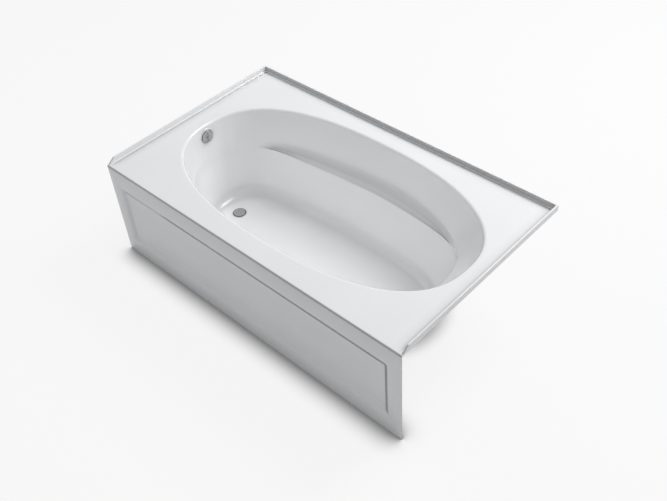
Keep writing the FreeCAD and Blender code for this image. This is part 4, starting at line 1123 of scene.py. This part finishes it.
# %% Trees that set copies
def copies_tree(name, sizes):
    """A Geometry Nodes tree that sets its piece on points and gives all copies one finish.

    sizes names its own inputs and their kinds: Start and Step for a row, or Radius for a ring about Z.
    """
    tree = bpy.data.node_groups.new(name, "GeometryNodeTree")
    kinds = {"Piece": "Geometry", "Count": "Int", **sizes, "Finish": "Material"}
    for socket, kind in kinds.items():
        tree.interface.new_socket(socket, in_out="INPUT", socket_type="NodeSocket" + kind)
    tree.interface.new_socket("Copies", in_out="OUTPUT", socket_type="NodeSocketGeometry")
    given = add_node(tree, "NodeGroupInput").outputs
    set_down = add_node(tree, "GeometryNodeInstanceOnPoints", {"Instance": given["Piece"]})
    if "Radius" in sizes:
        circle = {"Vertices": given["Count"], "Radius": given["Radius"]}
        points = add_node(tree, "GeometryNodeMeshCircle", circle)
        part = calc(tree, "DIVIDE", 2 * math.pi, given["Count"])
        angle = calc(tree, "MULTIPLY", add_node(tree, "GeometryNodeInputIndex").outputs[0], part)
        turned = add_node(tree, "ShaderNodeCombineXYZ", {"Z": angle})
        feed(tree, set_down.inputs["Rotation"], turned.outputs[0])
    else:
        line = {"Count": given["Count"], "Start Location": given["Start"], "Offset": given["Step"]}
        points = add_node(tree, "GeometryNodeMeshLine", line, mode="OFFSET")
    feed(tree, set_down.inputs["Points"], points.outputs["Mesh"])
    real = add_node(tree, "GeometryNodeRealizeInstances", {"Geometry": set_down.outputs["Instances"]})
    dressing = {"Geometry": real.outputs["Geometry"], "Material": given["Finish"]}
    finished = add_node(tree, "GeometryNodeSetMaterial", dressing)
    add_node(tree, "NodeGroupOutput", {"Copies": finished.outputs["Geometry"]})
    return tree


def set_copies(piece, tree, **values):
    """Runs a tree on a piece and leaves the copies as its plain mesh."""
    modifier = piece.modifiers.new(tree.name, "NODES")
    modifier.node_group = tree
    for item in tree.interface.items_tree:
        if item.in_out == "INPUT" and item.name in values:
            modifier[item.identifier] = values[item.name]
    return settle(piece)


row_of_copies = copies_tree("row_of_copies", {"Start": "Vector", "Step": "Vector"})
ring_of_copies = copies_tree("ring_of_copies", {"Radius": "Float"})
print("trees:", row_of_copies.name, ring_of_copies.name)

# %% The cross in the drain's neck
BARS = 4
BAR_HALF = 7.85
BAR_RING = 12.65


def make_cross():
    """Four bars and a hub that guides the stopper's stem. One bar is modelled, and the ring sets four."""
    outline = [(-1.5, -14), (-1.5, -10.6), (-0.9, -10), (0.9, -10), (1.5, -10.6), (1.5, -14)]
    bars = straight_piece("cross_bars", outline, (-BAR_HALF, BAR_HALF), chrome)
    set_copies(bars, ring_of_copies, Count=BARS, Radius=BAR_RING * MM, Finish=chrome)
    bars.data.transform(Matrix.Translation(DRAIN * MM))
    hub_profile = [(3.3, -14), (6, -14), (6, -10.6), (5.4, -10), (3.9, -10), (3.3, -10.6)]
    return bars, turned_piece("cross_hub", hub_profile, "Z", DRAIN, chrome, 40)


drain_flange = join("drain_flange_skin", drain_ring, *make_cross())
smooth(drain_flange, 30)
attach(drain_flange, "tub")
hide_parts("drain_flange")
print("drain flange:", len(drain_flange.data.polygons), "faces")

# %% The stopper's cap
ON_AXIS = 0.01
CAP_SEAT = 54.2
CAP_PROFILE = [(ON_AXIS, 0), (29.6, 0), (30.5, 0.3), (30.95, 0.9), (30.8, 1.5), (30.0, 1.9), (28, 2.15)]
CAP_PROFILE += [(20, 2.34), (8, 2.4), (ON_AXIS, 2.4)]
cap = turned_piece("stopper_cap_skin", CAP_PROFILE, "Z", (DRAIN.x, DRAIN.y, CAP_SEAT), painted_light_cap_chrome, 72)
smooth(cap, 40)
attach(cap, "stopper")
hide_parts("stopper_cap")

# %% [markdown]
# ## Overflow plate and its screws
#
# The plate is spun from thin metal: flat where the screws bear on it, with a shallow ring groove and an
# edge that rolls back to the wall. It is turned like the drain, and a Boolean cuts the lever's slot. One
# slotted screw is modelled, and the row of copies sets it twice, above and below the slot.


# %% Cutting one piece with another
def cut_out(piece, name, low, high):
    """Cuts a block between two corners in millimetres out of a piece."""
    square = [(low[1], low[2]), (high[1], low[2]), (high[1], high[2]), (low[1], high[2])]
    cutter = straight_piece(name, square, (low[0], high[0]))
    hollow = piece.modifiers.new("cut", "BOOLEAN")
    hollow.operation = "DIFFERENCE"
    hollow.solver = "EXACT"
    hollow.object = cutter
    settle(piece)
    bpy.data.objects.remove(cutter)
    return piece


print("cutter ready")

# %% The overflow plate
PLATE_THICK = 5.0
PLATE_FRONT = LAND + PLATE_THICK
SLOT_HEIGHT = 12.0
SLOT_WIDTH = 3.3


def make_overflow_plate():
    """The plate's back, its rolled edge, its ring groove and its face in one profile, less the slot."""
    back, front = LAND, PLATE_FRONT
    profile = [(ON_AXIS, back), (35.6, back), (36.5, back + 0.5), (36.5, back + 1.6), (36.1, front - 2.3)]
    profile += [(35.2, front - 1.2), (33.8, front - 0.5), (32, front - 0.1), (30.6, front)]
    profile += [(29.8, front - 0.1), (29.2, front - 0.55), (28.4, front - 0.55), (27.8, front - 0.1)]
    profile += [(27, front), (ON_AXIS, front)]
    plate = turned_piece("overflow_plate_skin", profile, "X", OVERFLOW, painted_light_plate_chrome, 96)
    low = (back - 2, OVERFLOW.y - SLOT_WIDTH, OVERFLOW.z - SLOT_HEIGHT)
    high = (front + 2, OVERFLOW.y + SLOT_WIDTH, OVERFLOW.z + SLOT_HEIGHT)
    return cut_out(plate, "slot_cutter", low, high)


overflow_plate = make_overflow_plate()
smooth(overflow_plate, 30)
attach(overflow_plate, "tub")
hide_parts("overflow_plate")
print("overflow plate:", len(overflow_plate.data.polygons), "faces")

# %% The plate's screws
SCREW_TIP = -797.25
SCREW_OFFSET = 21.0
SCREW_TURNS = 24
SCREW_TEETH = ((1.65, 0.1), (1.98, 0.5), (1.65, 0.9))
DRIVER_LENGTH = 4.5
DRIVER_WIDTH = 0.55
DRIVER_BOTTOM = 0.9


def make_plate_screws():
    """One screw with its thread, head and driver slot, set twice."""
    front = PLATE_FRONT
    pitch = (front - 1.5 - SCREW_TIP) / SCREW_TURNS
    profile = [(ON_AXIS, SCREW_TIP), (1.5, SCREW_TIP)] + thread(SCREW_TIP, pitch, SCREW_TURNS, SCREW_TEETH)
    profile += [(1.9, front - 0.6), (1.9, front), (4, front), (4, front + 0.8), (3.6, front + 1.45)]
    profile += [(2.6, front + 1.85), (ON_AXIS, front + 2)]
    screw = turned_piece("overflow_screws_skin", profile, "X", (0, OVERFLOW.y, 0), chrome, 32)
    low = (front + DRIVER_BOTTOM, OVERFLOW.y - DRIVER_LENGTH, -DRIVER_WIDTH)
    high = (front + 2.5, OVERFLOW.y + DRIVER_LENGTH, DRIVER_WIDTH)
    cut_out(screw, "driver_slot", low, high)
    start = Vector((0, 0, OVERFLOW.z - SCREW_OFFSET)) * MM
    step = Vector((0, 0, 2 * SCREW_OFFSET)) * MM
    return set_copies(screw, row_of_copies, Count=2, Start=start, Step=step, Finish=chrome)


screws = make_plate_screws()
smooth(screws, 30)
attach(screws, "tub")
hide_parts("overflow_screws")
print("screws:", len(screws.data.polygons), "faces")

# %% [markdown]
# ## Pieces with softened edges
#
# The rails, boards, pipes and lever parts already have their real shapes, but no sawn, moulded or cast edge
# is razor sharp. Each is a copy of the fixed frame's mesh: its doubles are merged, its flat facets
# dissolved, and its outer edges bevelled by a small width that fits how the piece is made. Each rail's
# grain runs along it.

# %% Finishes by slot
GRAIN = {"deck_rail_left": 1, "deck_rail_right": 1, "apron_post_left": 2, "apron_post_right": 2}
SLOT_FINISH = {
    "acrylic_shell": acrylic,
    "acrylic_apron": apron_acrylic,
    "chrome_trim": chrome,
    "black_rubber": rubber,
    "pipe_plastic": pipe_plastic,
    "plain_brass": brass,
    "bracket_steel": steel,
}


def node_finish(name, slot):
    """The finish of a node: by its slot, and for timber by the way its grain runs."""
    if slot != "timber":
        return SLOT_FINISH[slot]
    if name in ("base_board", "apron_backer_board"):
        return board_wood
    runs_across = name.startswith("base_runner")
    return pine_along[GRAIN.get(name, 1 if runs_across else 0)]


slot_of = {row["node"]: row["material_slot"] for row in frame["record"]["subparts"]}
for name, item in frame["nodes"].items():
    item.data.materials.clear()
    item.data.materials.append(node_finish(name, slot_of[name]))
print("finishes for", len(slot_of), "nodes")

# %% Softened copies
FLAT_DEGREES = 1.0
EDGE_DEGREES = 50
WOOD_EDGE = 1.2
BOARD_EDGE = 0.6
PIPE_EDGE = 0.8
RUBBER_EDGE = 0.5
METAL_EDGE = 0.35
LEVER_EDGE = 1.1
NUT_EDGE = 1.0
EDGES = {"timber": WOOD_EDGE, "pipe_plastic": PIPE_EDGE, "black_rubber": RUBBER_EDGE}
PIECE_EDGES = {"base_board": BOARD_EDGE, "apron_backer_board": BOARD_EDGE, "trip_lever": LEVER_EDGE}
PIECE_EDGES["slip_nuts"] = NUT_EDGE
MADE_ALREADY = ("tub_shell", "front_apron", "drain_flange", "stopper_cap")
MADE_ALREADY += ("overflow_plate", "overflow_screws")


def softened(name, width):
    """A copy of a node's mesh, in the node's finish, whose outer edges are bevelled by a width."""
    mesh = frame["nodes"][name].data.copy()
    with editing(mesh) as bm:
        bmesh.ops.remove_doubles(bm, verts=bm.verts, dist=MERGE)
        flat = math.radians(FLAT_DEGREES)
        bmesh.ops.dissolve_limit(bm, angle_limit=flat, verts=bm.verts, edges=bm.edges)
        outer = [edge for edge in bm.edges if len(edge.link_faces) == 2]
        outer = [edge for edge in outer if edge.calc_face_angle_signed(0) > math.radians(EDGE_DEGREES)]
        bevel = {"offset": width * MM, "segments": 2, "profile": 0.5, "clamp_overlap": True}
        bmesh.ops.bevel(bm, geom=outer, affect="EDGES", **bevel)
    piece = bpy.data.objects.new(name + "_soft", mesh)
    bpy.context.collection.objects.link(piece)
    smooth(piece)
    return piece


soft_pieces = {}
for name in frame["nodes"]:
    if name not in MADE_ALREADY:
        soft_pieces[name] = softened(name, PIECE_EDGES.get(name, EDGES.get(slot_of[name], METAL_EDGE)))
print("softened:", {name: len(piece.data.polygons) for name, piece in soft_pieces.items()})

# %% [markdown]
# ## Grip ribs on the slip nuts
#
# A slip nut is done up by hand, so its rim has ribs to hold. The three nuts are one piece of the fixed
# frame, so the size and the place of each are read from its loose parts. One thin rod is turned, and the
# ring of copies sets it round each nut, half sunk into it.


# %% Where the nuts are
def islands(piece):
    """The lowest and highest corners of each loose part of a mesh."""
    bm = bmesh.new()
    bm.from_mesh(piece.data)
    boxes = []
    seen = set()
    for first in bm.verts:
        if first.index in seen:
            continue
        seen.add(first.index)
        part = [first]
        for vert in part:
            for edge in vert.link_edges:
                other = edge.other_vert(vert)
                if other.index not in seen:
                    seen.add(other.index)
                    part.append(other)
        low = Vector([min(vert.co[axis] for vert in part) for axis in range(3)])
        high = Vector([max(vert.co[axis] for vert in part) for axis in range(3)])
        boxes.append((low, high))
    bm.free()
    return boxes


nut_boxes = islands(soft_pieces["slip_nuts"])
print("nuts in mm:", [[round(value / MM, 1) for value in high - low] for low, high in nut_boxes])

# %% Grip ribs
RIB_RADIUS = 0.9
RIB_RING = 23.1
RIBS = 24
RIB_INSET = 1.6


def make_nut_ribs(low, high):
    """A ring of half-round ribs along a nut, whose axis is its shortest side."""
    extent = high - low
    axis = min(range(3), key=lambda k: extent[k])
    half = extent[axis] / MM / 2 - RIB_INSET
    profile = [(ON_AXIS, -half), (RIB_RADIUS * 0.7, -half), (RIB_RADIUS, -half + 0.6)]
    profile += [(RIB_RADIUS, half - 0.6), (RIB_RADIUS * 0.7, half), (ON_AXIS, half)]
    rib = turned_piece("grip_rib", profile, "Z", (0, 0, 0), pipe_plastic, 12)
    set_copies(rib, ring_of_copies, Count=RIBS, Radius=RIB_RING * MM, Finish=pipe_plastic)
    if axis == 0:
        rib.data.transform(Matrix.Rotation(math.pi / 2, 4, "Y"))
    rib.data.transform(Matrix.Translation((low + high) / 2))
    return rib


ribs = [make_nut_ribs(low, high) for low, high in nut_boxes]
soft_pieces["slip_nuts"] = join("slip_nuts_ribbed", soft_pieces["slip_nuts"], *ribs)
smooth(soft_pieces["slip_nuts"])
print("nuts with ribs:", len(soft_pieces["slip_nuts"].data.polygons), "faces")


# %% Each softened piece stands for its node
def stand_in(name, piece):
    """Lets a piece ride and stand for a node."""
    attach(piece, frame["nodes"][name].parent.name.removeprefix("body:"))
    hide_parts(name)


for name, piece in soft_pieces.items():
    stand_in(name, piece)
print(len(soft_pieces), "softened pieces stand for their nodes")
